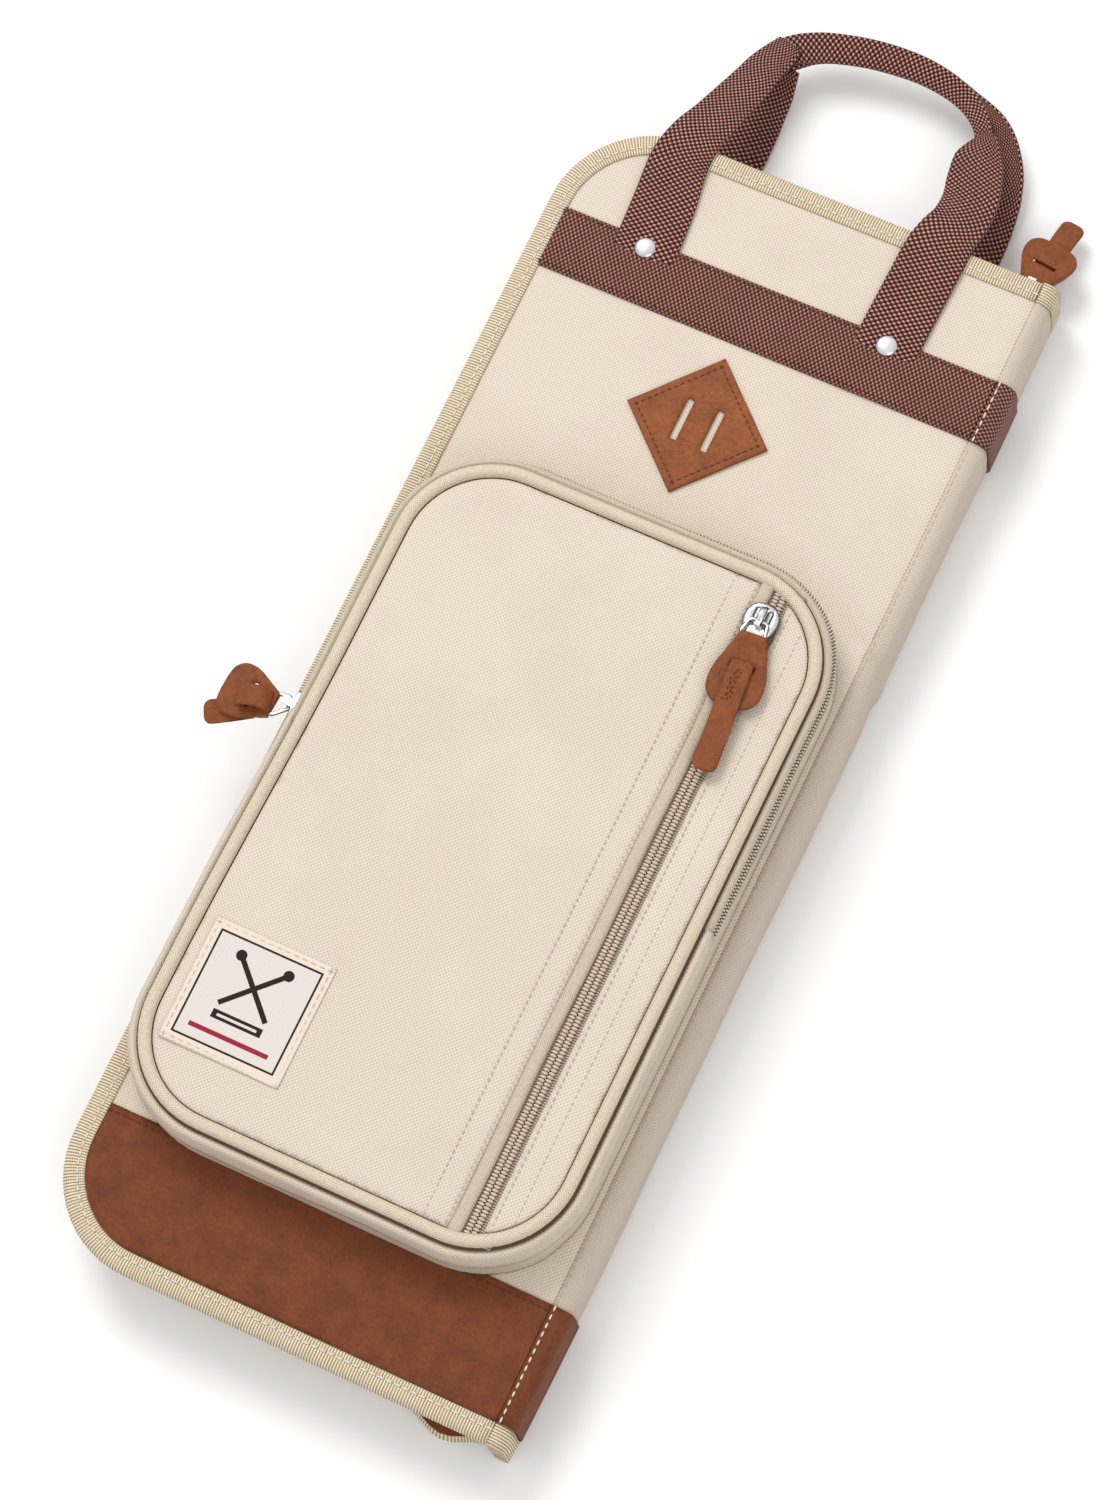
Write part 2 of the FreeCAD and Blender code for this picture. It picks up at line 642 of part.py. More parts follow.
def make_wall_sliders():
    coil_face = COIL_THICKNESS + GAP
    outer = coil_face + PLATE_CLEARANCE
    inner = -TAPE - PLATE_CLEARANCE
    # The slider's X runs up the wall, its Y along the zipper and its Z out of the wall.
    main = FreeCAD.Matrix(
        0, 1, 0, MAIN_SLIDER_X,
        0, 0, 1, HALF_HEIGHT - MAIN_ZIP_INSET,
        1, 0, 0, MAIN_ZIP_Z,
        0, 0, 0, 1,
    )
    pocket = FreeCAD.Matrix(
        0, 0, -1, POCKET_LEFT + WALL_INSET,
        0, -1, 0, POCKET_SLIDER_Y,
        -1, 0, 0, POCKET_ZIP_Z,
        0, 0, 0, 1,
    )
    make_wall_slider("main", main, MAIN_PULL_TURN, outer, inner)
    make_wall_slider("pocket", pocket, POCKET_PULL_TURN, outer, inner)


# Handles -----------------------------------------------------------------------------------------


def ribbon(points, thickness):
    """A sheet that follows (y, z) points, as wide as the bag, with its lower face on the points."""
    lower = [Vector(-BIG, y, z) for y, z in points]
    upper = [Vector(-BIG, y, z + t) for (y, z), t in reversed(list(zip(points, thickness)))]
    wire = Part.makePolygon(lower + upper + [lower[0]])
    return Part.Face(wire).extrude(Vector(2 * BIG, 0, 0))


def handle(points, thickness, shift):
    """A webbing handle: two legs and a grip folded to half width, cut from one ribbon."""
    half = WEBBING_WIDTH / 2
    left = LEG_CENTRES_X[0]
    right = LEG_CENTRES_X[1]
    lean_y = 240.0
    outer = rounded_loop(
        [
            (left - half, HANDLE_START_Y, 0),
            (right + half, HANDLE_START_Y, 0),
            (right + half, lean_y, 0),
            (right + half + shift, HANDLE_TOP_Y, 34.0),
            (left - half + shift, HANDLE_TOP_Y, 34.0),
            (left - half, lean_y, 0),
        ]
    )
    inner = rounded_loop(
        [
            (left + half, HANDLE_START_Y - 5, 0),
            (right - half, HANDLE_START_Y - 5, 0),
            (right - half, lean_y, 0),
            (right - half + shift, HANDLE_TOP_Y - GRIP_WIDTH, 22.0),
            (left + half + shift, HANDLE_TOP_Y - GRIP_WIDTH, 22.0),
            (left + half, lean_y, 0),
        ]
    )
    plan = slab(outer, (-BIG, BIG)).cut(slab(inner, (-BIG - 1, BIG + 1)))
    return ribbon(points, thickness).common(plan)


def make_handles():
    over_binding = FRONT_FACE_Z + GAP + BINDING_CLOTH + 0.1
    thickness = (WEBBING, WEBBING, WEBBING, GRIP_THICKNESS, GRIP_THICKNESS)
    front_line = (
        (HANDLE_START_Y, over_binding),
        (244.0, over_binding),
        (266.0, over_binding - 2.5),
        (286.0, over_binding - 6.5),
        (HANDLE_TOP_Y, over_binding - 8.5),
    )
    back_line = (
        (HANDLE_START_Y, 0.02),
        (240.0, 0.02),
        (262.0, 3.5),
        (286.0, 12.0),
        (HANDLE_TOP_Y, 15.5),
    )
    save("front_handle", handle(front_line, thickness, 4.0))
    save("back_handle", handle(back_line, thickness, 4.0 + BACK_HANDLE_SHIFT))


cover("back", BACK_FACE_Z, 1)
cover("front", FRONT_FACE_Z, -1)
cover_trim("back", BACK_FACE_Z, 1, BACK_TRIM)
cover_trim("front", FRONT_FACE_Z, -1, TRIM)
make_spine()
make_main_zipper()
make_inside()
make_pocket()
COIL_TOP, TAPE_LOW = make_face_zipper()
make_patches()
make_face_slider(COIL_TOP, TAPE_LOW)
make_wall_sliders()
make_handles()
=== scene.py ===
"""Looks of the folding drum stick bag: canvas covers, leather base, webbing handles and zips.

Lengths are in millimetres, in the part's own frame, until a mesh is made, which is in metres.
"""
import math

import bmesh
import bpy
import numpy as np
from mathutils import Matrix, Vector, geometry


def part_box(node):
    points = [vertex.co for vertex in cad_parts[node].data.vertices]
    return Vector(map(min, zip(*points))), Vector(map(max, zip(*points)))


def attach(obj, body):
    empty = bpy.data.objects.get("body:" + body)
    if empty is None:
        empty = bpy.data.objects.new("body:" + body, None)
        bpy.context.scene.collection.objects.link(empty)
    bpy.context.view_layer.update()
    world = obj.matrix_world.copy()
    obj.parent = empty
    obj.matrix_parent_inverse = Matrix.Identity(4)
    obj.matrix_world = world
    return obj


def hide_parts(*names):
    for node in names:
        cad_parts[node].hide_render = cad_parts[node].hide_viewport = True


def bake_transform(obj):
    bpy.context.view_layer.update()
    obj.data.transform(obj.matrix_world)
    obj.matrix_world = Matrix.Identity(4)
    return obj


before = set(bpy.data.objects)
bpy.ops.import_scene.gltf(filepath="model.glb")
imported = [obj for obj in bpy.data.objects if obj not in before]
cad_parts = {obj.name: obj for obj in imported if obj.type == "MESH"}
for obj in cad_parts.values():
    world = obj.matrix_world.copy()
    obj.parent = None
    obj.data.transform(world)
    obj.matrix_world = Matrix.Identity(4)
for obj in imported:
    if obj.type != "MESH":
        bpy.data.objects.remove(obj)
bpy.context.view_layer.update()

# Places shared by several pieces
LEFT, SEAM = -95.0, 91.0  # a cover's free side, and its seam with the spine
HALF, CORNER = 240.0, 41.0  # half the bag's length, and a cover's corner radius
BACK, FRONT = 2.1, 30.0  # the outer levels of the two covers
BINDING = 8.4  # width of the edge binding
LEATHER_TOP = -185.4  # where the leather base ends
BAND = (171.1, 196.7)  # the webbing band
LEGS = (-52.0, 48.0)  # where a handle's legs cross the band
SLOT = (49.6, 61.6)  # the gap in the pocket's face for its zip
SLIDER = (55.5, 68.6, 0.0)  # the face slider
FLAP = ("front_cover", "pocket_flap", (0, -0.047, 0.05), (0, -0.023, 0.05))  # the flap's two bodies and two points across its fold; make() only uses it to bake a piece in place, unattached
UP, ACROSS, BACKWARDS = (0, 0, 1), (1, 0, 0), (-1, 0, 0)


# Mesh helpers ------------------------------------------------------------------------------------


class Piece:
    """Collects vertices in millimetres, faces, UVs in millimetres and materials for one object."""

    def __init__(self):
        self.verts, self.faces, self.uvs, self.slots, self.mats = [], [], [], [], []
        self.count = 0

    def add(self, verts, faces, uvs, mat):
        verts = np.asarray(verts, float).reshape(-1, 3)
        if mat not in self.mats:
            self.mats.append(mat)
        self.verts.append(verts)
        self.uvs.append(np.asarray(uvs, float).reshape(-1, 2))
        self.faces += [tuple(int(i) + self.count for i in face) for face in faces]
        self.slots += [self.mats.index(mat)] * len(faces)
        self.count += len(verts)

    def make(self, name, slot, body=None, replaces=(), blend=None):
        mesh = bpy.data.meshes.new(name)
        verts = np.concatenate(self.verts) / 1000.0
        mesh.from_pydata([tuple(v) for v in verts], [], self.faces)
        uvs = np.concatenate(self.uvs)
        layer = mesh.uv_layers.new(name="UVMap")
        loops = np.zeros(len(mesh.loops), np.int32)
        mesh.loops.foreach_get("vertex_index", loops)
        layer.data.foreach_set("uv", uvs[loops].astype(np.float32).ravel())
        for mat in self.mats:
            mesh.materials.append(mat)
        mesh.polygons.foreach_set("material_index", np.array(self.slots, np.int32))
        mesh.polygons.foreach_set("use_smooth", np.ones(len(mesh.polygons), bool))
        weld(mesh)
        obj = bpy.data.objects.new(name, mesh)
        bpy.context.scene.collection.objects.link(obj)
        if blend:
            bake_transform(obj)
        else:
            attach(obj, body)
        if replaces:
            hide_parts(*replaces)
        return obj


def weld(mesh):
    """Joins a mesh along its seams and turns its faces outwards."""
    work = bmesh.new()
    work.from_mesh(mesh)
    bmesh.ops.remove_doubles(work, verts=work.verts, dist=1e-6)
    bmesh.ops.recalc_face_normals(work, faces=work.faces)
    work.to_mesh(mesh)
    work.free()
    mesh.update()


def unit(vectors):
    """Rows of vectors, each made one long."""
    return vectors / np.linalg.norm(vectors, axis=1)[:, None]


def each(vector, count):
    """The same vector, count times."""
    return np.tile(np.asarray(vector, float), (count, 1))


def lengths(points):
    """How far along a path each of its points is."""
    return np.concatenate([[0], np.cumsum(np.linalg.norm(np.diff(points, axis=0), axis=1))])


def rectangle(x0, y0, x1, y1):
    """The corners of a rectangle, given two opposite ones."""
    return [(x0, y0), (x1, y0), (x1, y1), (x0, y1)]


def ellipse(wide, high, count):
    """Points round an ellipse, given half its sizes."""
    angles = np.linspace(0, 2 * math.pi, count, endpoint=False)
    return [(wide * math.cos(a), high * math.sin(a)) for a in angles]


def loft(piece, rows, mat, closed_u=False, closed_v=False, caps=False):
    """A skin through rows of points: rows[j][i], i along the piece and j round its section."""
    rows = np.asarray(rows, float)
    if closed_v:
        rows = np.concatenate([rows, rows[:1]])
    if closed_u:
        rows = np.concatenate([rows, rows[:, :1]], axis=1)
    along = np.linalg.norm(np.diff(rows, axis=1), axis=2).mean(0)
    around = np.linalg.norm(np.diff(rows, axis=0), axis=2).max(1)
    u = np.concatenate([[0], np.cumsum(along)])
    v = np.concatenate([[0], np.cumsum(around)])
    uv = np.stack(np.broadcast_arrays(u[None, :], v[:, None]), -1)
    index = np.arange(len(v) * len(u)).reshape(len(v), len(u))
    corners = [index[:-1, :-1], index[:-1, 1:], index[1:, 1:], index[1:, :-1]]
    faces = [tuple(quad) for quad in np.stack(corners, -1).reshape(-1, 4)]
    if caps:
        faces.append(tuple(index[:-1, 0]))
        faces.append(tuple(index[:-1, -1][::-1]))
    piece.add(rows, faces, uv, mat)


def side_normals(points, closed=False, outward=1):
    """Directions square to a path drawn in the XY plane, to its right, or left if outward is -1."""
    points = np.asarray(points, float)
    if closed:
        t = unit(np.roll(points, -1, 0) - np.roll(points, 1, 0))
    else:
        t = unit(np.gradient(points, axis=0))
    return unit(np.stack([t[:, 1], -t[:, 0], np.zeros(len(t))], -1) * outward)


def sweep(piece, points, profile, mat, closed=False, outward=1, normals=None, ups=None):
    """A section, as (outwards, upwards) points or a function of the share along, swept on a path."""
    points = np.asarray(points, float)
    count = len(points)
    if normals is None:
        normals = side_normals(points, closed, outward)
    if ups is None:
        ups = each(UP, count)
    sections = [profile(i / (count - 1)) if callable(profile) else profile for i in range(count)]
    rows = [
        [points[i] + sections[i][j][0] * normals[i] + sections[i][j][1] * ups[i] for i in range(count)]
        for j in range(len(sections[0]))
    ]
    loft(piece, rows, mat, closed_u=closed, closed_v=True, caps=not closed)


def arc(cx, cy, r, a0, a1, n=14):
    """Points of an arc, its angles in degrees."""
    angles = np.radians(np.linspace(a0, a1, n))
    return [(cx + r * math.cos(a), cy + r * math.sin(a)) for a in angles]


def dense(points, step, closed=False):
    """A path with extra points, so that no side is longer than step."""
    points = [np.asarray(p, float) for p in points]
    out = []
    pairs = list(zip(points, points[1:] + (points[:1] if closed else [])))
    for a, b in pairs:
        n = max(1, int(np.linalg.norm(b - a) // step))
        out += [a + (b - a) * k / n for k in range(n)]
    return np.array(out if closed else out + [points[-1]])


def at_lengths(points, wanted):
    """Points of a path at the wanted distances along it."""
    s = lengths(points)
    return np.stack([np.interp(wanted, s, points[:, k]) for k in range(points.shape[1])], -1)


def resample(points, step):
    """Points at equal distances along a path."""
    points = np.asarray(points, float)
    whole = lengths(points)[-1]
    return at_lengths(points, np.linspace(0, whole, max(2, int(round(whole / step)) + 1)))


def smooth_path(points, step):
    """A smooth curve through points, resampled evenly."""
    p = np.asarray(points, float)
    ext = np.concatenate([[2 * p[0] - p[1]], p, [2 * p[-1] - p[-2]]])
    out = []
    for i in range(1, len(ext) - 2):
        a, b, c, d = ext[i - 1 : i + 3]
        for t in np.linspace(0, 1, 12, endpoint=False):
            square, cube = 2 * a - 5 * b + 4 * c - d, 3 * b - a - 3 * c + d
            out.append(0.5 * (2 * b + (c - a) * t + square * t**2 + cube * t**3))
    out.append(p[-1])
    return resample(out, step)


def with_z(points, z):
    """XY points with a height added."""
    points = np.asarray(points, float)
    return np.concatenate([points[:, :2], np.full((len(points), 1), float(z))], 1)


def edge_distance(points, loop):
    """Distance from each point to the nearest side of a closed outline."""
    a = np.asarray(loop, float)
    b = np.roll(a, -1, 0)
    ab = b - a
    out = []
    for chunk in np.array_split(np.asarray(points, float).reshape(-1, 2), max(1, len(points) // 2000)):
        rel = chunk[:, None] - a[None]
        t = np.clip((rel * ab).sum(2) / np.maximum((ab * ab).sum(1), 1e-9), 0, 1)
        out.append(np.linalg.norm(rel - t[..., None] * ab, axis=2).min(1))
    return np.concatenate(out)


def inside(points, loop):
    """Which points lie inside a closed outline."""
    x, y = np.asarray(points, float).reshape(-1, 2).T
    hit = np.zeros(len(x), bool)
    a = np.asarray(loop, float)
    for (x0, y0), (x1, y1) in zip(a, np.roll(a, -1, 0)):
        if y0 != y1:
            hit ^= ((y0 > y) != (y1 > y)) & (x < (x1 - x0) * (y - y0) / (y1 - y0) + x0)
    return hit


def grid_points(rim, step):
    """A staggered grid over the box of an outline."""
    low, high = rim.min(0), rim.max(0)
    xs = np.arange(low[0] + step / 2, high[0], step)
    ys = np.arange(low[1] + step / 2, high[1], step * 0.87)
    shifts = [step / 2 if k % 2 else 0 for k in range(len(ys))]
    return np.array([(x + shift, y) for y, shift in zip(ys, shifts) for x in xs]).reshape(-1, 2)


def fill_outline(loops, step):
    """Points and faces that fill the first outline and leave the others open."""
    rim = loops[0]
    grid = grid_points(rim, step)
    keep = inside(grid, rim)
    for hole in loops[1:]:
        keep &= ~inside(grid, hole)
    for loop in loops:
        keep &= edge_distance(grid, loop) > step * 0.45
    inner = [grid[keep]]
    normals = side_normals(with_z(rim, 0), True)[:, :2] * np.sign(signed_area(rim))
    for offset in (0.35, 0.9, 1.8):
        ring = rim - normals * offset
        inner.append(ring[inside(ring, rim) & (edge_distance(ring, rim) > offset * 0.8)])
    edges = []
    start = 0
    for loop in loops:
        edges += [(start + k, start + (k + 1) % len(loop)) for k in range(len(loop))]
        start += len(loop)
    flat = [Vector(p) for p in np.concatenate(loops + inner)]
    verts, _, faces, *_ = geometry.delaunay_2d_cdt(flat, edges, [], 0, 1e-4)
    verts = np.array([tuple(v) for v in verts])
    centres = np.array([verts[list(f)].mean(0) for f in faces])
    good = inside(centres, rim)
    for hole in loops[1:]:
        good &= ~inside(centres, hole)
    return verts, [f for f, kept in zip(faces, good) if kept]


def panel(piece, loop, top, bottom, mat, step=4.0, holes=(), place=None):
    """A flat piece inside an outline. Its top and bottom are numbers or functions of x, y and depth.

    The depth is a point's distance from the nearest edge.
    """
    loops = [dense(outline, step, closed=True) for outline in (loop, *holes)]
    verts, faces = fill_outline(loops, step)
    depth = np.min([edge_distance(verts, outline) for outline in loops], axis=0)
    x, y = verts.T
    levels = [side(x, y, depth) if callable(side) else np.full(len(x), side) for side in (top, bottom)]
    points = np.concatenate([np.stack([x, y, level], -1) for level in levels])
    n = len(verts)
    sides = dict.fromkeys((f[k], f[(k + 1) % len(f)]) for f in faces for k in range(len(f)))
    walls = [(b, a, a + n, b + n) for a, b in sides if (b, a) not in sides]
    every = [tuple(f) for f in faces] + [tuple(i + n for i in reversed(f)) for f in faces] + walls
    if place is not None:
        points = np.array([tuple(place @ Vector(p)) for p in points])
    piece.add(points, every, np.concatenate([verts, verts]), mat)


def signed_area(loop):
    x, y = np.asarray(loop, float).T
    return 0.5 * float((x * np.roll(y, -1) - y * np.roll(x, -1)).sum())


def rounding(level, sign, radius):
    """A height function with a rounded rim: sign +1 is an upper face and -1 a lower one."""

    def height(x, y, depth):
        short = np.maximum(radius - depth, 0)
        return level - sign * (radius - np.sqrt(np.maximum(radius**2 - short**2, 0)))

    return height


def beads(piece, centres, along, across, up, size, mat):
    """A small rounded bead at each centre. size is its half-lengths on the three directions."""
    rings, sides = 3, 6
    base = []
    for i in range(rings + 1):
        polar = math.pi * (i + 0.35) / (rings + 0.7)
        for k in range(sides):
            turn = 2 * math.pi * k / sides
            base.append((math.cos(polar), math.sin(polar) * math.cos(turn), math.sin(polar) * math.sin(turn)))
    base = np.array(base) * np.asarray(size)
    faces = []
    for i in range(rings):
        for k in range(sides):
            j = (k + 1) % sides
            faces.append((i * sides + k, i * sides + j, (i + 1) * sides + j, (i + 1) * sides + k))
    faces += [tuple(range(sides))[::-1], tuple(range(rings * sides, (rings + 1) * sides))]
    verts, every = [], []
    for n, (c, a, b, u) in enumerate(zip(centres, along, across, up)):
        verts.append(c + base[:, :1] * a + base[:, 1:2] * b + base[:, 2:3] * u)
        every += [tuple(i + n * len(base) for i in f) for f in faces]
    verts = np.concatenate(verts)
    piece.add(verts, every, verts[:, :2], mat)


def stitches(piece, points, mat, pitch=3.4, share=0.72, thick=0.33):
    """A run of stitches on a path. share is how much of the pitch shows."""
    path = resample(points, pitch)
    t = unit(np.gradient(path, axis=0))
    ups = each(UP, len(path))
    beads(piece, path, t, np.cross(ups, t), ups, (pitch * share / 2, thick, thick * 0.8), mat)


def square_seam(piece, place, far, height, mat, pitch, thick):
    """A row of stitches along each side of a square."""
    square = [(-far, -far), (far, -far), (far, far), (-far, far), (-far, -far)]
    corners = [tuple(place @ Vector((*corner, height))) for corner in square]
    for ends in zip(corners, corners[1:]):
        stitches(piece, ends, mat, pitch=pitch, thick=thick)


# Materials ---------------------------------------------------------------------------------------


class Look:
    """A material and a few calls to wire it."""

    def __init__(self, name, rough=0.8, metal=0.0, uv=True, spec=0.3):
        self.mat = bpy.data.materials.new(name)
        self.mat.use_nodes = True
        self.tree = self.mat.node_tree
        self.bsdf = self.tree.nodes["Principled BSDF"]
        self.put(self.bsdf.inputs["Roughness"], rough)
        self.put(self.bsdf.inputs["Metallic"], metal)
        self.put(self.bsdf.inputs["Specular IOR Level"], spec)
        self.last_bump = None
        self.place = self.node("TexCoord").outputs["UV" if uv else "Object"]
        self.u, self.v, _ = self.node("SeparateXYZ", {0: self.place}).outputs

    def put(self, socket, value):
        """Links a socket to an output, or sets it to a number or a colour."""
        if hasattr(value, "links"):
            self.tree.links.new(value, socket)
        else:
            socket.default_value = (*value, 1.0) if isinstance(value, tuple) else value

    def node(self, kind, inputs=None, **settings):
        node = self.tree.nodes.new("ShaderNode" + kind)
        for name, value in settings.items():
            setattr(node, name, value)
        for socket, value in (inputs or {}).items():
            self.put(node.inputs[socket], value)
        return node

    def math(self, op, a, b=0.0, c=0.0):
        return self.node("Math", {0: a, 1: b, 2: c}, operation=op).outputs[0]

    def wave(self, socket, period):
        """A sine of a coordinate, from -1 to 1."""
        return self.math("SINE", self.math("MULTIPLY", socket, 2 * math.pi / period))

    def weave(self, along, across):
        """Crossing threads, from -1 to 1."""
        return self.math("MULTIPLY", self.wave(self.u, along), self.wave(self.v, across))

    def positive(self, value):
        """A value from -1 to 1, brought to 0 to 1."""
        return self.math("MULTIPLY_ADD", value, 0.5, 0.5)

    def share(self, a, part, b):
        """A part of one value and the rest of another."""
        return self.math("MULTIPLY_ADD", a, part, self.math("MULTIPLY", b, 1 - part))

    def noise(self, scale, detail=4.0, rough=0.6, distort=0.0):
        inputs = {"Scale": scale, "Detail": detail, "Roughness": rough, "Distortion": distort}
        return self.node("TexNoise", {"Vector": self.place, **inputs}).outputs["Fac"]

    def cells(self, scale):
        return self.node("TexVoronoi", {"Vector": self.place, "Scale": scale}).outputs["Distance"]

    def ramp(self, fac, *stops):
        """Colours at stops, each a place from 0 to 1 and a colour."""
        node = self.node("ValToRGB", {0: fac})
        points = node.color_ramp.elements
        while len(points) < len(stops):
            points.new(0.5)
        for point, (place, colour) in zip(points, stops):
            point.position = place
            point.color = (*colour, 1.0)
        return node.outputs[0]

    def mix(self, fac, a, b, kind="MIX"):
        return self.node("Mix", {0: fac, 6: a, 7: b}, data_type="RGBA", blend_type=kind).outputs[2]

    def blotched(self, colour, scale, dark):
        """A colour with large soft patches of a darker tint."""
        patches = self.ramp(self.noise(scale, 3.0), (0.3, dark), (0.7, (1, 1, 1)))
        return self.mix(1.0, colour, patches, "MULTIPLY")

    def bump(self, height, strength, distance):
        """Adds a bump over any earlier one."""
        inputs = {"Strength": strength, "Distance": distance / 1000.0, "Height": height}
        if self.last_bump:
            inputs["Normal"] = self.last_bump
        self.last_bump = self.node("Bump", inputs).outputs[0]
        self.put(self.bsdf.inputs["Normal"], self.last_bump)

    def colour(self, value):
        self.put(self.bsdf.inputs["Base Color"], value)


def linear(r, g, b):
    """A display colour out of 255 as scene light."""
    return tuple((c / 255 / 12.92) if c <= 10 else ((c / 255 + 0.055) / 1.055) ** 2.4 for c in (r, g, b))


def shade(tone, part=1.0):
    """A darker or lighter step of a display colour."""
    return linear(*[min(255, c * part) for c in tone])


def canvas_look(name, tone):
    look = Look(name, rough=0.9, spec=0.15)
    thread = look.share(look.positive(look.weave(1.6, 1.6)), 0.7, look.noise(0.9, 2.0))
    dark = tuple(c * 0.80 for c in tone)
    light = tuple(min(1.0, c * 1.10) for c in tone)
    look.colour(look.blotched(look.ramp(thread, (0.2, dark), (0.8, light)), 0.02, (0.95, 0.94, 0.92)))
    look.bump(thread, 0.55, 0.35)
    look.bump(look.noise(0.05, 3.0), 0.25, 3.0)
    return look.mat


def webbing_look(name, across, along, dark, mid, light):
    look = Look(name, rough=0.62, spec=0.35)
    cell = look.weave(along * 2, across * 2)
    height = look.share(look.math("ABSOLUTE", cell), 0.8, look.noise(3.0, 3.0))
    stops = ((0.3, shade(dark)), (0.48, shade(mid, 0.6)), (0.6, shade(mid)), (0.8, shade(light)))
    look.colour(look.blotched(look.ramp(look.positive(cell), *stops), 0.06, (0.8, 0.8, 0.8)))
    look.bump(height, 0.8, 0.9)
    return look.mat


def leather_look(name, tone):
    look = Look(name, rough=0.68, spec=0.3)
    grain = look.noise(0.7, 8.0, 0.75, 0.4)
    mottle = look.noise(0.09, 8.0, 0.72)
    base = look.ramp(mottle, (0.3, shade(tone, 0.84)), (0.5, shade(tone)), (0.7, shade(tone, 1.13)))
    fine = look.ramp(grain, (0.3, (0.6, 0.55, 0.52)), (0.62, (1, 1, 1)))
    look.colour(look.mix(0.8, base, fine, "MULTIPLY"))
    look.bump(grain, 0.5, 0.5)
    look.bump(look.cells(0.9), 0.2, 0.25)
    return look.mat


def ribbed_look(name, tone, pitch):
    look = Look(name, rough=0.75, spec=0.25)
    rib, fine = look.positive(look.wave(look.u, pitch)), look.positive(look.wave(look.v, 0.9))
    both = look.share(rib, 0.8, fine)
    colour = look.ramp(both, (0.1, shade(tone, 0.62)), (0.5, shade(tone)), (0.9, shade(tone, 1.13)))
    look.colour(look.blotched(colour, 0.3, (0.88, 0.88, 0.88)))
    look.bump(both, 0.7, 0.5)
    return look.mat


def plain_weave_look(name, tone, rough=0.85, pitch=0.7, strength=0.4):
    look = Look(name, rough=rough, spec=0.2)
    mixed = look.share(look.positive(look.weave(pitch, pitch)), 0.5, look.noise(0.8))
    look.colour(look.ramp(mixed, (0.2, shade(tone, 0.78)), (0.8, shade(tone, 1.08))))
    look.bump(mixed, strength, 0.3)
    return look.mat


def thread_look(name, tone):
    look = Look(name, rough=0.6, spec=0.3)
    twist = look.positive(look.wave(look.math("ADD", look.u, look.v), 0.7))
    look.colour(look.ramp(twist, (0.0, shade(tone, 0.75)), (1.0, shade(tone))))
    look.bump(twist, 0.4, 0.15)
    return look.mat


def metal_look(name):
    """Polished metal with a painted reflection: darker where a face's slope would mirror a studio's dark
    side.
    """
    look = Look(name, rough=0.16, metal=1.0, uv=False, spec=0.5)
    smear = look.noise(180.0, 4.0)
    polish = look.ramp(smear, (0.3, (0.78, 0.78, 0.8)), (0.7, (0.92, 0.92, 0.92)))
    normal = look.node("NewGeometry").outputs["Normal"]
    tilt = look.math("ABSOLUTE", look.node("SeparateXYZ", {0: normal}).outputs[2])
    # Painted reflection: greys picked by how steeply a face stands, in place of a mirrored studio
    painted_sheen = ((0.0, 0.5), (0.3, 0.7), (0.52, 0.08), (0.7, 0.14), (0.8, 0.7), (0.92, 0.82), (0.97, 1.0))
    studio = look.ramp(tilt, *[(place, (grey, grey, grey)) for place, grey in painted_sheen])
    look.colour(look.mix(1.0, polish, studio, "MULTIPLY"))
    look.put(look.bsdf.inputs["Roughness"], look.math("MULTIPLY_ADD", smear, 0.18, 0.08))
    look.bump(look.noise(900.0, 2.0), 0.12, 0.1)
    return look.mat


def foam_look(name):
    look = Look(name, rough=0.95, spec=0.1)
    cells = look.cells(1.2)
    look.colour(look.ramp(cells, (0.0, linear(150, 148, 142)), (0.7, linear(205, 203, 196))))
    look.bump(cells, 0.5, 0.4)
    return look.mat


def label_look(name, centre, half):
    """A woven label: a dark frame, two crossed sticks over a hollow bar, and a plain red bar."""
    look = Look(name, rough=0.8, spec=0.2)
    x = look.math("SUBTRACT", look.u, centre[0])
    y = look.math("SUBTRACT", look.v, centre[1])
    reach = look.math("MAXIMUM", look.math("ABSOLUTE", x), look.math("ABSOLUTE", y))

    def bar(a, b, level, thick, long):
        """1 within thick of a level on one direction and within long of the middle on the other."""
        near, within = look.math("COMPARE", a, level, thick), look.math("COMPARE", b, 0.0, long)
        return look.math("MULTIPLY", near, within)

    marks = look.math("COMPARE", reach, half - 3.9, 0.4)
    lift = look.math("SUBTRACT", y, 5.0)
    stick_end, slant = 13.5, 0.7071
    for slope in (-1, 1):
        off = look.math("MULTIPLY", look.math("MULTIPLY_ADD", lift, slope, x), slant)
        run = look.math("MULTIPLY", look.math("MULTIPLY_ADD", x, -slope, lift), slant)
        past = look.math("POWER", look.math("SUBTRACT", run, stick_end), 2.0)
        tip = look.math("LESS_THAN", look.math("ADD", look.math("POWER", off, 2.0), past), 4.4)
        stick = look.math("MAXIMUM", bar(off, run, 0.0, 1.0, stick_end), tip)
        marks = look.math("MAXIMUM", marks, stick)
    ribbon = look.math("SUBTRACT", bar(y, x, -8.6, 1.7, 10.0), bar(y, x, -8.6, 0.5, 8.0))
    marks = look.math("MAXIMUM", marks, ribbon)
    weave = look.positive(look.weave(0.8, 0.8))
    cloth = look.ramp(weave, (0.0, linear(206, 197, 190)), (1.0, linear(230, 222, 216)))
    cloth = look.mix(look.math("GREATER_THAN", reach, half - 3.6), cloth, linear(226, 212, 196))
    printed = look.mix(marks, cloth, linear(44, 30, 26))
    look.colour(look.mix(bar(y, x, -15.4, 0.9, 16.0), printed, linear(150, 40, 60)))
    look.bump(weave, 0.4, 0.2)
    return look.mat


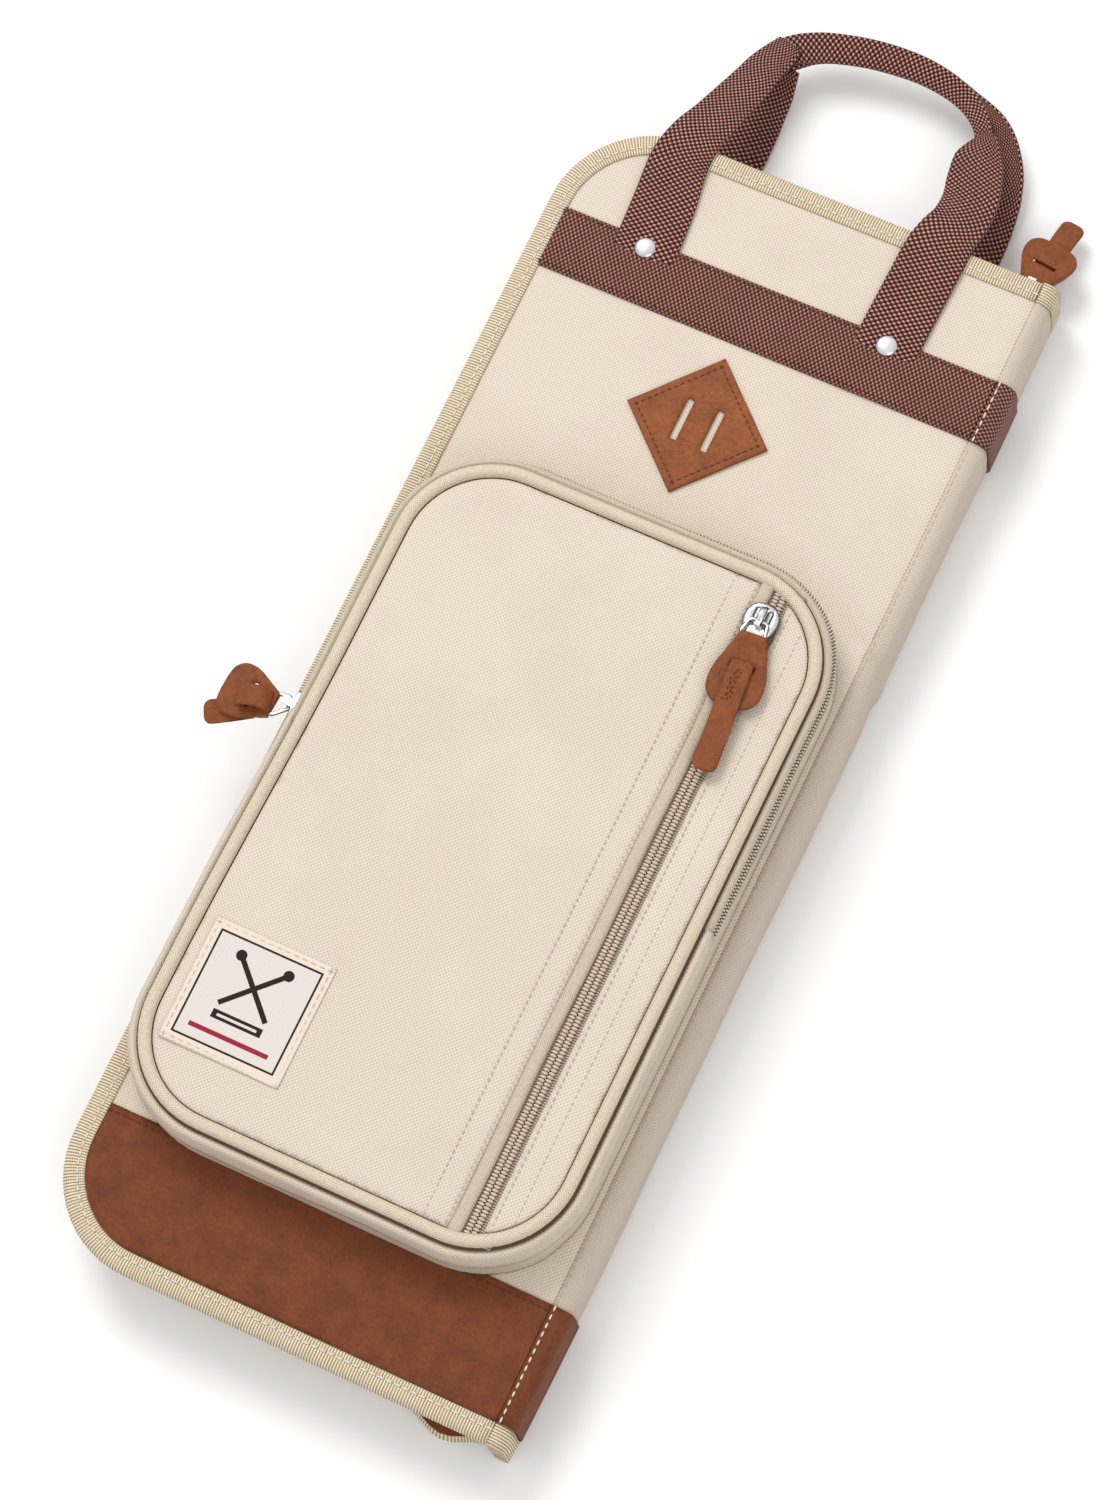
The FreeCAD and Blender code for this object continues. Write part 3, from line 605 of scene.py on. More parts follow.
CANVAS = canvas_look("canvas", linear(221, 208, 192))
CANVAS_WALL = canvas_look("canvas_wall", linear(216, 202, 184))
# Painted shade: a darker copy of the canvas for the spine's side, which gets less light
CANVAS_SPINE_SHADED = canvas_look("canvas_spine_painted_shade", linear(207, 193, 178))
WEBBING = webbing_look("webbing", 1.4, 1.05, (42, 14, 10), (142, 82, 68), (226, 164, 146))
WEBBING_BAND = webbing_look("webbing_band", 1.2, 0.9, (74, 32, 24), (152, 96, 80), (202, 144, 124))
LEATHER = leather_look("leather", (119, 61, 28))
LEATHER_PULL = leather_look("leather_pull", (138, 76, 38))
LEATHER_PATCH = leather_look("leather_patch", (146, 82, 44))
BINDING_LOOK = ribbed_look("binding_ribs", (222, 204, 174), pitch=1.1)
PIPING = plain_weave_look("piping_cloth", (220, 205, 182), pitch=1.2)
TAPE = ribbed_look("zip_tape", (178, 162, 140), pitch=1.0)
TAPE_PALE = plain_weave_look("zip_tape_pale", (206, 192, 170), pitch=1.1)
COIL = plain_weave_look("zip_coil", (218, 198, 176), rough=0.45, pitch=0.5, strength=0.15)
COIL_PALE = plain_weave_look("zip_coil_pale", (226, 212, 194), rough=0.4, pitch=0.5, strength=0.15)
# Painted shade: a dark brown cloth laid in the gaps beside zip teeth and piping, where shade falls
PAINTED_SHADE = plain_weave_look("painted_shade_strip", (104, 80, 62), pitch=0.9)
LINING = plain_weave_look("lining", (74, 52, 42))
THREAD = thread_look("thread_cream", (250, 242, 224))
THREAD_CANVAS = thread_look("thread_canvas", (226, 210, 188))
THREAD_BROWN = thread_look("thread_brown", (110, 52, 26))
THREAD_WEB = thread_look("thread_webbing", (84, 40, 34))
METAL = metal_look("nickel")
FOAM = foam_look("foam")


# Covers ------------------------------------------------------------------------------------------


def cover_path(inset, end=SEAM, low_edge=HALF, bulge=0.0):
    """The three free edges of a cover, from the spine's low end round to its high end."""
    r = CORNER - inset
    low_y, high_y = -low_edge + inset, HALF - inset
    low = [(end, low_y)] + arc(LEFT + CORNER, low_y + r, r, 270, 180)
    high = arc(LEFT + CORNER, HALF - CORNER, r, 180, 90) + [(end, high_y)]
    path = dense(low + high, 4.0)
    push = bulge * np.exp(-(((path[:, 0] - 71.0) / 11.5) ** 2)) * (path[:, 1] < low_y + 1.0)
    return path - np.stack([0 * push, push], -1)


def ripple(x, y):
    """Gentle unevenness of cloth over foam."""
    short = 0.12 * np.sin(x / 11.0 + 1.3) * np.cos(y / 17.0)
    return 0.28 * np.sin(x / 23.0 + y / 61.0) + 0.22 * np.sin(y / 37.0 - x / 51.0) + short


def crease(x, y):
    """A soft slanting wrinkle from the pocket's top corner to the spine."""
    off = (y - 84.0) + 0.55 * (x - 85.0)
    wrinkle = -1.5 * np.exp(-((off / 3.5) ** 2)) + 0.8 * np.exp(-(((off - 7) / 4.0) ** 2))
    return wrinkle * np.clip((x - 70) / 16, 0, 1)


def binding_section(level, inside_z):
    """The binding's section, folded over a cover's edge, from the outer level to the inside."""
    s = 1 if level > inside_z else -1
    out, inn, w = level + s * 0.05, inside_z - s * 0.05, BINDING
    skin = [(-w, 0.42), (-w + 0.5, 0.62), (-6.4, 0.7), (-5.7, 0.45), (-5.0, 0.7), (-2.6, 0.55)]
    skin += [(-1.1, 0.0), (-0.3, -1.0), (0.0, -2.2), (-0.5, -3.8)]
    under = [(-1.5, 1.2), (-2.6, 0.1), (-4.0, -0.4), (-w, -0.45), (-w, 0.1), (-4.2, 0.2), (-2.4, 1.2)]
    lining = [(-1.1, -3.6), (-0.9, -2.2), (-2.0, -0.8), (-w, 0.0)]
    return [(a, base + s * b) for part, base in ((skin, out), (under, inn), (lining, out)) for a, b in part]


class Cover:
    """The levels and outline of one cover. The front one faces up and the back one down."""

    def __init__(self, side):
        self.side, self.body = side, side + "_cover"
        self.front = side == "front"
        self.sign = 1 if self.front else -1
        self.level = FRONT if self.front else BACK
        self.face = self.level + self.sign * 0.1
        self.inside = 23.0 if self.front else 9.1
        self.lining = (24.4, 23.6) if self.front else (7.7, 8.5)
        self.trim = 1.2 if self.front else 1.9
        self.low_edge, self.bulge = (HALF, 0.0) if self.front else (HALF - 4.0, 6.5)

    def outline(self, inset, end=SEAM):
        return cover_path(inset, end, self.low_edge, self.bulge)

    def panel(self, piece, loop, outer, inner, mat, step):
        """A flat piece, given its face on the outside of the bag and the one on the inside."""
        faces = (outer, inner) if self.front else (inner, outer)
        panel(piece, loop, *faces, mat, step=step)


def cover_canvas(cover):
    """The cover's cloth and its foam, as one padded skin."""

    def outer(x, y, depth):
        rise = -0.25 + np.minimum(depth, 26.0) / 26.0 * (0.2 if cover.front else 1.6)
        calm = np.clip(depth / 10.0, 0, 1) * np.clip((185.0 - np.abs(y + 6)) / 18.0 + 1.0, 0, 1)
        seam = 0.5 * np.exp(-(((x - SEAM) / 1.2) ** 2))
        return cover.level + cover.sign * (rise + 0.25 * ripple(x, y) * calm + crease(x, y) - seam)

    skin = Piece()
    cover.panel(skin, cover.outline(3.2), outer, cover.lining[0] + cover.sign * 0.1, CANVAS, 4.5)
    side = cover.side
    obj = skin.make(side + "_canvas", "canvas", cover.body, [side + "_shell", side + "_padding"])


def cover_lining(cover):
    """The lining, quilted on the face that shows when the bag is open."""

    def quilted(x, y, depth):
        return cover.lining[1] + cover.sign * 0.1 + 0.12 * np.sin(x / 9.0) * np.sin(y / 13.0)

    lining = Piece()
    cover.panel(lining, cover.outline(3.2), cover.lining[0], quilted, LINING, 7.0)
    side = cover.side
    obj = lining.make(side + "_lining_cloth", "lining_cloth", cover.body, [side + "_lining"])


def cover_binding(cover):
    binding = Piece()
    path = with_z(cover.outline(0.0), 0)
    sweep(binding, path, binding_section(cover.level, cover.inside), BINDING_LOOK, outward=-1)
    stitch = with_z(cover.outline(5.7, 90.0), cover.level + cover.sign * 0.86)
    stitches(binding, stitch, THREAD, pitch=3.3, share=0.78, thick=0.52)
    binding.make(cover.side + "_binding_tape", "binding_tape", cover.body, [cover.side + "_binding"])


def cover_leather(cover):
    margin = 8.7
    low_y = -cover.low_edge
    edge = arc(LEFT + CORNER, low_y + CORNER, CORNER - margin, 180, 270)
    corner = [(LEFT + margin, LEATHER_TOP)] + edge + [(SEAM, low_y + margin), (SEAM, LEATHER_TOP)]

    def outer(x, y, depth):
        waves = 0.12 * ripple(x, y) * np.clip(depth / 8, 0, 1)
        return cover.face + cover.sign * (cover.trim - 0.5 * np.exp(-depth / 0.8) + waves)

    leather = Piece()
    cover.panel(leather, corner, outer, cover.face, LEATHER, 4.0)
    if not cover.front:
        turned_in = [tuple(p) for p in cover.outline(1.3, 90.6) if p[1] < -230 and p[0] > 50]
        turned_in += [(90.6, -233.6), (50.0, -233.6)]
        panel(leather, turned_in, 10.2, 9.65, LEATHER, step=2.0)
    row_y, row_z = LEATHER_TOP - 2.6, cover.face + cover.sign * cover.trim
    stitches(leather, [(LEFT + 9.5, row_y, row_z), (90.0, row_y, row_z)], THREAD_BROWN, pitch=2.9)
    leather.make(cover.side + "_leather", "leather", cover.body, [cover.side + "_base_leather"])


def cover_band(cover):
    band = Piece()
    t = cover.trim
    xs = np.concatenate([[LEFT + 8.2], np.linspace(LEFT + 9.5, 90.4, 70), [SEAM]])
    mid, half = (BAND[0] + BAND[1]) / 2, (BAND[1] - BAND[0]) / 2
    lift = sum(np.exp(-(((xs - leg) / 13.5) ** 8)) for leg in LEGS) * (0.30 if cover.front else 0.0)
    points = np.stack([xs, mid + 0 * xs, cover.face + cover.sign * lift], -1)
    section = [(-half, 0.1), (-half + 0.2, t * 0.7), (-half + 1.2, t), (0, t + 0.04)]
    section += [(half - 1.2, t), (half - 0.2, t * 0.7), (half, 0.1), (0, 0.0)]
    section = [(a, cover.sign * b) for a, b in section]
    sweep(band, points, section, WEBBING_BAND, normals=each((0, 1, 0), len(xs)))
    for off in (-half + 1.7, half - 1.7):
        row = points + np.array([0, off, cover.sign * (t + 0.02)])
        stitches(band, row, THREAD_WEB, pitch=3.0, thick=0.3)
    band.make(cover.side + "_webbing_band", "webbing", cover.body, [cover.side + "_band"])


def build_cover(side):
    cover = Cover(side)
    for layer in (cover_canvas, cover_lining, cover_binding, cover_leather, cover_band):
        layer(cover)


# Spine -------------------------------------------------------------------------------------------


def spine_section(offset):
    """The spine's rounded outline in X and Z, from the front seam round to the back seam."""
    low, high, right = BACK - offset, FRONT + offset, 97.0 + offset
    start = SEAM + 0.06
    r = 5.4 + offset
    top = arc(right - r, high - r, r, 90, 0, 7)
    bottom = arc(right - r, low + r, r, 0, -90, 7)
    side = [(right + 0.25 * math.sin(k), high - r + (low + 2 * r - high) * k / 5) for k in range(1, 5)]
    first = [(start, high - 0.7), (start + 0.5, high - 0.25)]
    return first + top[1:] + side + bottom[:-1] + [(start + 0.5, low + 0.25), (start, low + 0.7)]


def spine_loft(piece, offset, thick, y0, y1, mat, wobble=0.0, step=6.0):
    """A layer wrapped round the spine between two heights."""
    ys = np.linspace(y0, y1, max(2, int(abs(y1 - y0) / step)))
    rows = []
    for x, z in spine_section(offset + thick) + spine_section(offset)[::-1]:
        push = 1.5 * (1 - np.abs(ys / HALF) ** 5) * min(max((x - 92.5) / 4.0, 0.0), 1.0)
        if wobble and x > 94:
            push = push + wobble * (np.sin(ys / 31.0 + z / 9.0) + 0.6 * np.sin(ys / 13.0 + z / 5.0))
            push = push + crease(x, ys + 0.5 * (30 - z)) * 0.9
        rows.append(np.stack([x + push, ys, z + 0 * ys], -1))
    loft(piece, rows, mat, closed_v=True, caps=True)


def build_spine():
    skin = Piece()
    # The spine takes the darker canvas copy, painted shade for its side
    spine_loft(skin, -1.6, 1.6, -239.0, 239.0, CANVAS_SPINE_SHADED, wobble=0.22)
    for z in (FRONT - 0.12, BACK + 0.12):
        stitches(skin, [(92.4, -184.0, z), (92.4, 170.5, z)], THREAD_CANVAS, pitch=3.4)
    obj = skin.make("spine_canvas", "canvas", "spine", ["spine_shell"])
    pad = Piece()
    upper, lower = rounding(24.5, 1, 0.6), rounding(7.6, -1, 0.6)
    panel(pad, rectangle(92.6, -237, 95.2, 237), upper, lower, FOAM, step=3.0)
    obj = pad.make("spine_foam", "foam", "spine", ["spine_padding"])
    lining = Piece()
    panel(lining, rectangle(91.65, -239, 92.35, 239), 28.1, 4.0, LINING, step=3.0)
    obj = lining.make("spine_lining_cloth", "lining_cloth", "spine", ["spine_lining"])


def build_spine_trim():
    """The binding over the spine's ends, its leather base and its stretch of the band."""
    ends = Piece()
    for side in (-1, 1):
        y0, y1 = sorted((side * HALF, side * 231.6))
        near, far = sorted((side * (HALF - 0.4), side * (HALF - 3.0)))
        spine_loft(ends, 0.1, 0.55, y0, y1, BINDING_LOOK, step=2.0)
        panel(ends, rectangle(91.1, near, 96.2, far), 28.6, 3.4, BINDING_LOOK, step=1.5)
    ends.make("spine_end_tape", "binding_tape", "spine", ["spine_end_binding"])
    seam_z = FRONT + 1.35
    leather = Piece()
    spine_loft(leather, 0.1, 1.2, -231.2, LEATHER_TOP, LEATHER, step=4.0)
    stitches(leather, [(92.6, -230, seam_z), (92.6, LEATHER_TOP - 1, seam_z)], THREAD, 3.3, thick=0.42)
    leather.make("spine_leather", "leather", "spine", ["spine_base_leather"])
    band = Piece()
    spine_loft(band, 0.1, 1.2, BAND[0], BAND[1], WEBBING_BAND, step=2.0)
    stitches(band, [(92.7, BAND[0] + 1, seam_z), (92.7, BAND[1] - 1, seam_z)], THREAD, 3.4, thick=0.42)
    band.make("spine_webbing", "webbing", "spine", ["spine_band"])


# Main zipper and inside --------------------------------------------------------------------------


def build_main_zip():
    for side, z0, z1, coil_z in (("back", 8.8, 15.2, 14.2), ("front", 16.9, 23.2, 17.9)):
        tape, teeth = Piece(), Piece()
        path = with_z(cover_path(4.4, 90.8, HALF - 1.5, 0.0), 0)
        sweep(tape, path, [(-0.4, z0), (0.4, z0), (0.4, z1), (-0.4, z1)], TAPE, outward=-1)
        line = path + side_normals(path, outward=-1) * 1.2 + np.array([0, 0, coil_z])
        line = resample(line, 2.0)
        out, ups = side_normals(line, outward=-1), each(UP, len(line))
        beads(teeth, line, ups, np.cross(out, ups), out, (1.25, 0.72, 0.75), COIL)
        body = side + "_cover"
        tape.make("main_zip_" + side + "_cloth", "zip_tape", body, ["main_zip_" + side + "_tape"])
        teeth.make("main_zip_" + side + "_teeth", "zip_coil", body, ["main_zip_" + side + "_coil"])


def sleeve_height(low, high, pockets):
    """A height function for cloth that swells over a row of stick pockets."""

    def height(x, y, depth):
        swell = (high - low - 0.6) * np.clip(depth / 9.0, 0, 1) ** 0.6
        return low + 0.6 + swell * (0.82 + 0.18 * np.cos(x / 80.0 * math.pi * pockets))

    return height


def build_inside():
    for name, y1, low, high, pockets in (
        ("stick_sleeve_tall", 130, 8.6, 11.9, 4),
        ("stick_sleeve_short", 30, 12.0, 15.3, 3),
    ):
        sleeve = Piece()
        panel(sleeve, rectangle(-80, -220, 80, y1), sleeve_height(low, high, pockets), low, LINING, step=5.0)
        stitches(sleeve, [(-79, y1 - 3, high), (79, y1 - 3, high)], THREAD_BROWN)
        obj = sleeve.make(name + "_cloth", "lining_cloth", "back_cover", [name])
    seams = Piece()
    for x in (-40.0, 0.0, 40.0):
        stitches(seams, [(x, 31, 11.4), (x, 128, 11.4)], THREAD_BROWN)
    for x in (-26.7, 26.7):
        stitches(seams, [(x, -218, 14.9), (x, 28, 14.9)], THREAD_BROWN)
    seams.make("sleeve_seams", "lining_cloth", "back_cover", ["sleeve_dividers"])
    slip = Piece()

    def under(x, y, depth):
        return 23.0 - 3.2 * np.clip(depth / 10.0, 0, 1) ** 0.6

    panel(slip, rectangle(-62, 42, 62, 190), 23.5, under, LINING, step=5.0)
    obj = slip.make("slip_pocket_cloth", "lining_cloth", "front_cover", ["inner_slip_pocket"])


# Bellows pocket ----------------------------------------------------------------------------------


def pocket_loop(out=0.0):
    """The outline of the piping, or of what lies further out. The left side leans outwards."""
    x0, x1, y0, y1, r = -84.2 - out, 84.9 + out, -184.6 - out, 88.2 + out, 38.0 + out
    middles = ((x0 + r, y0 + r, 180), (x1 - r, y0 + r, 270), (x1 - r, y1 - r, 0), (x0 + r, y1 - r, 90))
    corners = [arc(x, y, r, turn, turn + 90, 16) for x, y, turn in middles]
    points = []
    for k, corner in enumerate(corners):
        count = 40 if k in (1, 3) else 20
        a, b = np.array(corner[-1]), np.array(corners[(k + 1) % 4][0])
        points += corner + [tuple(a + (b - a) * m / count) for m in range(1, count)]
    loop = np.array(points)
    lean = np.clip(-loop[:, 1] / 130.0, 0, 1)
    loop[:, 0] -= 2.6 * lean * lean * (3 - 2 * lean) * np.clip(-loop[:, 0] / 60.0, 0, 1)
    return loop


# The wall's section, as heights and how far out each is: the lower cloth, then the flap's crown
WALL_FOOT = ((30.1, 5.0), (33.0, 4.5), (38.0, 4.3), (42.0, 4.5), (45.0, 4.4), (47.4, 3.3))
CROWN = ((47.4, 3.3), (49.0, 3.5), (50.3, 3.1), (51.1, 2.2), (51.3, 1.3), (50.4, 0.7), (50.0, -1.5))


def wall_rows(levels, inset=0.0):
    """Rows of the wall's outline, with small folds. A level is a height, or also says how far out."""
    rows = []
    for level in levels:
        z, out = level if isinstance(level, tuple) else (level, float(np.interp(level, *zip(*WALL_FOOT))))
        loop = pocket_loop(out - inset)
        loop[:, 0] -= 0.9 * np.clip((loop[:, 0] - 80.0) / 6.0, 0, 1) * min(max((50.0 - z) / 4.0, 0), 1)
        calm = math.sin(math.pi * min(max((z - 30.0) / 21.0, 0), 1))
        k = np.arange(len(loop))
        fold = calm * (0.25 * np.sin(k / 5.0 + z / 3.0) + 0.18 * np.sin(k / 2.3 - z / 4.0))
        n = side_normals(with_z(loop, 0), True)
        rows.append(with_z(loop - n[:, :2] * fold[:, None], z))
    return np.array(rows)


def open_part(rows, keep):
    """The run of a closed row where keep is true, joined across the row's start."""
    start = int(np.argmax(keep & ~np.roll(keep, 1)))
    order = (np.arange(len(keep)) + start) % len(keep)
    order = order[: int(keep.sum())]
    return rows[:, order]


def wall_strip(piece, outer, inner, keep, mat):
    """A strip of the wall between an outer and an inner skin, where keep is true."""
    rows = np.concatenate([open_part(outer, keep), open_part(inner, keep)])
    loft(piece, rows, mat, closed_v=True, caps=True)


def zip_stretches():
    """Where round the wall the zip runs, and where plain cloth closes the wall under its ends."""
    ring = pocket_loop(4.0)
    zip_end = np.where(ring[:, 0] > 0, -46.0, -34.0)
    return ring[:, 1] > zip_end, ring[:, 1] < zip_end + 6.5


ZIPPED, PLAIN = zip_stretches()


def build_wall():
    wall = Piece()
    levels = (30.1, 32.0, 35.0, 38.5, 41.6)
    rows = np.concatenate([wall_rows(levels), wall_rows(levels[::-1], inset=1.2)])
    loft(wall, rows, CANVAS_WALL, closed_u=True, closed_v=True)
    obj = wall.make("pocket_wall", "canvas", "front_cover", ["pocket_gusset"])
    upper = Piece()
    outside = ((41.2, 4.5), (44.0, 4.5), (46.4, 4.2)) + CROWN[1:]
    within = tuple((z - 0.9, out - 0.9) for z, out in CROWN[:0:-1]) + ((46.4, 3.0), (44.0, 3.4), (41.2, 3.4))
    wall_strip(upper, wall_rows(outside, inset=-0.4), wall_rows(within), PLAIN, CANVAS_WALL)
    upper.make("pocket_wall_upper", "canvas", "front_cover")


def build_pocket_zip():
    lower, upper = Piece(), Piece()
    levels = (41.0, 42.5, 44.9)
    wall_strip(lower, wall_rows(levels, inset=-0.3), wall_rows(levels[::-1], inset=0.8), ZIPPED, TAPE)
    lower.make("pocket_zip_lower_cloth", "zip_tape", "front_cover", ["pocket_zip_lower_tape"])
    within = tuple((z - 0.5, out - 0.7) for z, out in CROWN[::-1])
    wall_strip(upper, wall_rows(CROWN), wall_rows(within), ZIPPED, TAPE_PALE)
    upper.make("pocket_zip_upper_cloth", "zip_tape", blend=FLAP, replaces=["pocket_zip_upper_tape"])
    line = resample(open_part(wall_rows((45.4,)), ZIPPED)[0], 1.35)
    side = side_normals(with_z(line, 0))
    out = side * 0.75 + np.array([0, 0, 0.66])
    ups = np.array([0, 0, 0.75]) - side * 0.66
    line = with_z(line, 46.1) - side * (0.15 + 1.5 * np.clip(-side[:, :1] * 2, 0, 1))
    t = np.cross(ups, out)
    for part, sign, stagger, way in (
        ("lower", -1, 0.0, {"body": "front_cover"}),
        ("upper", 1, 0.67, {"blend": FLAP}),
    ):
        teeth = Piece()
        centres = line + out * 0.45 + ups * 0.72 * sign + t * stagger
        beads(teeth, centres, ups, t, out, (0.74, 0.5, 0.62), COIL_PALE)
        # A dark strip behind the teeth: painted shade for the gaps between them
        shade_strip = [(-0.5, 0.0), (0.0, 0.0), (0.0, sign * 1.7), (-0.5, sign * 1.7)]
        sweep(teeth, line, shade_strip, PAINTED_SHADE, normals=out, ups=ups)
        name = "pocket_zip_" + part
        teeth.make(name + "_teeth", "zip_coil", replaces=[name + "_coil"], **way)


def inset_loop(inset):
    """The piping's outline, drawn in."""
    loop = pocket_loop()
    return loop - side_normals(with_z(loop, 0), True)[:, :2] * inset


def build_piping():
    piping = Piece()
    core = with_z(inset_loop(2.6), 52.6)
    sweep(piping, core, ellipse(2.5, 2.4, 14), PIPING, closed=True)
    # A dark flange under the piping: painted shade for the thin gaps along both its sides
    shade_flange = [(-3.4, -2.6), (3.3, -2.6), (3.3, -1.9), (2.4, -1.5), (-3.4, -1.2)]
    sweep(piping, core, shade_flange, PAINTED_SHADE, closed=True)
    nodes = ["pocket_flap_piping", "pocket_lower_piping"]
    piping.make("pocket_piping", "piping_cloth", blend=FLAP, replaces=nodes)


def face_height(x, y, depth):
    """The pocket face's height: it swells away from its rim and lies calmer by its zip."""
    puff = 0.5 * np.clip(depth / 30.0, 0, 1)
    near_zip = np.exp(-((np.minimum(np.abs(x - SLOT[0]), np.abs(x - SLOT[1])) / 6.0) ** 2))
    waves = 0.55 * ripple(x, y) * np.clip(depth / 14.0, 0, 1) * (1 - 0.7 * near_zip)
    return 53.5 + puff + waves - 1.2 * np.exp(-depth / 1.0)


def build_pocket_face():
    face = Piece()
    rim = inset_loop(5.45)
    for keep, edge_x in ((rim[:, 0] < SLOT[0], SLOT[0]), (rim[:, 0] > SLOT[1], SLOT[1])):
        part = open_part(rim[None], keep)[0]
        outline = np.concatenate([part, [(edge_x, part[-1][1]), (edge_x, part[0][1])]])
        panel(face, outline, face_height, 51.9, CANVAS, step=4.0)
    for x in (39.6, SLOT[0] - 1.4, SLOT[1] + 2.2, SLOT[1] + 9.0):
        row = np.array([(x, y, 0.0) for y in np.linspace(-190.0, 95.0, 90)])
        row = row[inside(row[:, :2], rim)]
        depth = np.minimum(edge_distance(row[:, :2], rim), 30)
        row[:, 2] = face_height(row[:, 0], row[:, 1], depth) + 0.05
        stitches(face, row, THREAD_CANVAS, pitch=2.6, share=0.66, thick=0.26)
    obj = face.make("pocket_face", "canvas", blend=FLAP, replaces=["pocket_flap_face", "pocket_lower_face"])
    backing = Piece()
    panel(backing, pocket_loop(-2.2), 44.8, 44.1, LINING, step=6.0)
    nodes = ["pocket_flap_backing", "pocket_lower_backing"]
    obj = backing.make("pocket_backing", "lining_cloth", blend=FLAP, replaces=nodes)


def build_face_zip():
    """The face zip: its tapes, the cloth edge folded over them, and two rows of interlocked teeth."""
    ribbon = Piece()
    ys = np.linspace(-180.4, 84.2, 90)
    for x0, x1 in ((44.5, 57.4), (58.0, 66.5)):
        rows = [[(x, y, z) for y in ys] for x, z in ((x0, 51.3), (x1, 51.3), (x1, 51.8), (x0, 51.8))]
        loft(ribbon, rows, TAPE, closed_v=True, caps=True)
    edge = ((48.8, 52.6), (50.4, 53.7), (53.0, 53.6), (54.5, 52.9), (54.3, 52.3), (51.0, 52.2))
    fold = [[(x + 0.25 * math.sin(y / 14.0), y, z) for y in ys] for x, z in edge]
    loft(ribbon, fold, TAPE_PALE, closed_v=True, caps=True)
    nodes = ["face_zip_upper_tape", "face_zip_lower_tape"]
    ribbon.make("face_zip_cloth", "zip_tape", blend=FLAP, replaces=nodes)
    teeth = Piece()
    pitch, reach, apart = 1.4, 1.35, 1.2625
    line = np.stack([0 * ys + 57.7, ys, 0 * ys + 52.5], -1)
    for side, start in ((-1, pitch), (1, pitch / 2)):
        centres = at_lengths(line, np.arange(start, lengths(line)[-1], pitch))
        ups, across = each(UP, len(centres)), each(ACROSS, len(centres))
        shape = (reach, pitch / 2, 0.75)
        beads(teeth, centres + across * side * apart, across, np.cross(ups, across), ups, shape, COIL)
    nodes = ["face_zip_upper_coil", "face_zip_lower_coil"]
    teeth.make("face_zip_teeth", "zip_coil", blend=FLAP, replaces=nodes)


def build_label():
    label = Piece()
    x, y, half = -52.0, -135.5, 24.2

    def under(a, b, depth):
        return 54.15 + 0.5 * ripple(a, b)

    def over(a, b, depth):
        return 0.55 + under(a, b, depth) - 0.2 * np.exp(-depth / 0.5)

    look = label_look("label_weave", (x, y), half)
    panel(label, rectangle(x - half, y - half, x + half, y + half), over, under, look, step=2.5)
    place = Matrix.Translation((x, y, 0))
    square_seam(label, place, half - 1.7, 54.72, THREAD_CANVAS, 3.4, 0.24)
    obj = label.make("label_cloth", "label_cloth", "front_cover", ["label_patch"])


def build_lash_patch():
    patch = Piece()
    tilt = 48.0
    place = Matrix.Translation((-3.6, 136.2, 30.1)) @ Matrix.Rotation(math.radians(tilt), 4, "Z")
    upright = Matrix.Rotation(math.radians(-tilt), 2)
    slits = []
    for x in (-6.2, 6.2):
        slits.append([tuple(upright @ Vector(p)) for p in rectangle(x - 1.4, -8.7, x + 1.4, 8.7)])

    def over(a, b, depth):
        return 1.45 - 0.35 * np.exp(-depth / 0.6)

    panel(patch, rectangle(-20, -20, 20, 20), over, 0, LEATHER_PATCH, step=2.0, holes=slits, place=place)
    square_seam(patch, place, 17.3, 1.5, THREAD_BROWN, 2.6, 0.3)
    patch.make("lash_patch_leather", "leather", "front_cover", ["lash_tab_patch"])


# Pulls -------------------------------------------------------------------------------------------


def paddle_outline(start, length):
    """A paddle's outline: how wide it is at shares of its length."""
    half_widths = (
        (4.9, 0.0), (5.9, 0.1), (8.0, 0.3), (9.9, 0.5), (10.6, 0.68), (9.9, 0.85), (7.0, 0.97), (2.5, 1.0),
    )
    right = smooth_path([(x, start - share * length, 0) for x, share in half_widths], 0.8)[:, :2]
    return [tuple(p) for p in right] + [(-x, y) for x, y in right[::-1]]


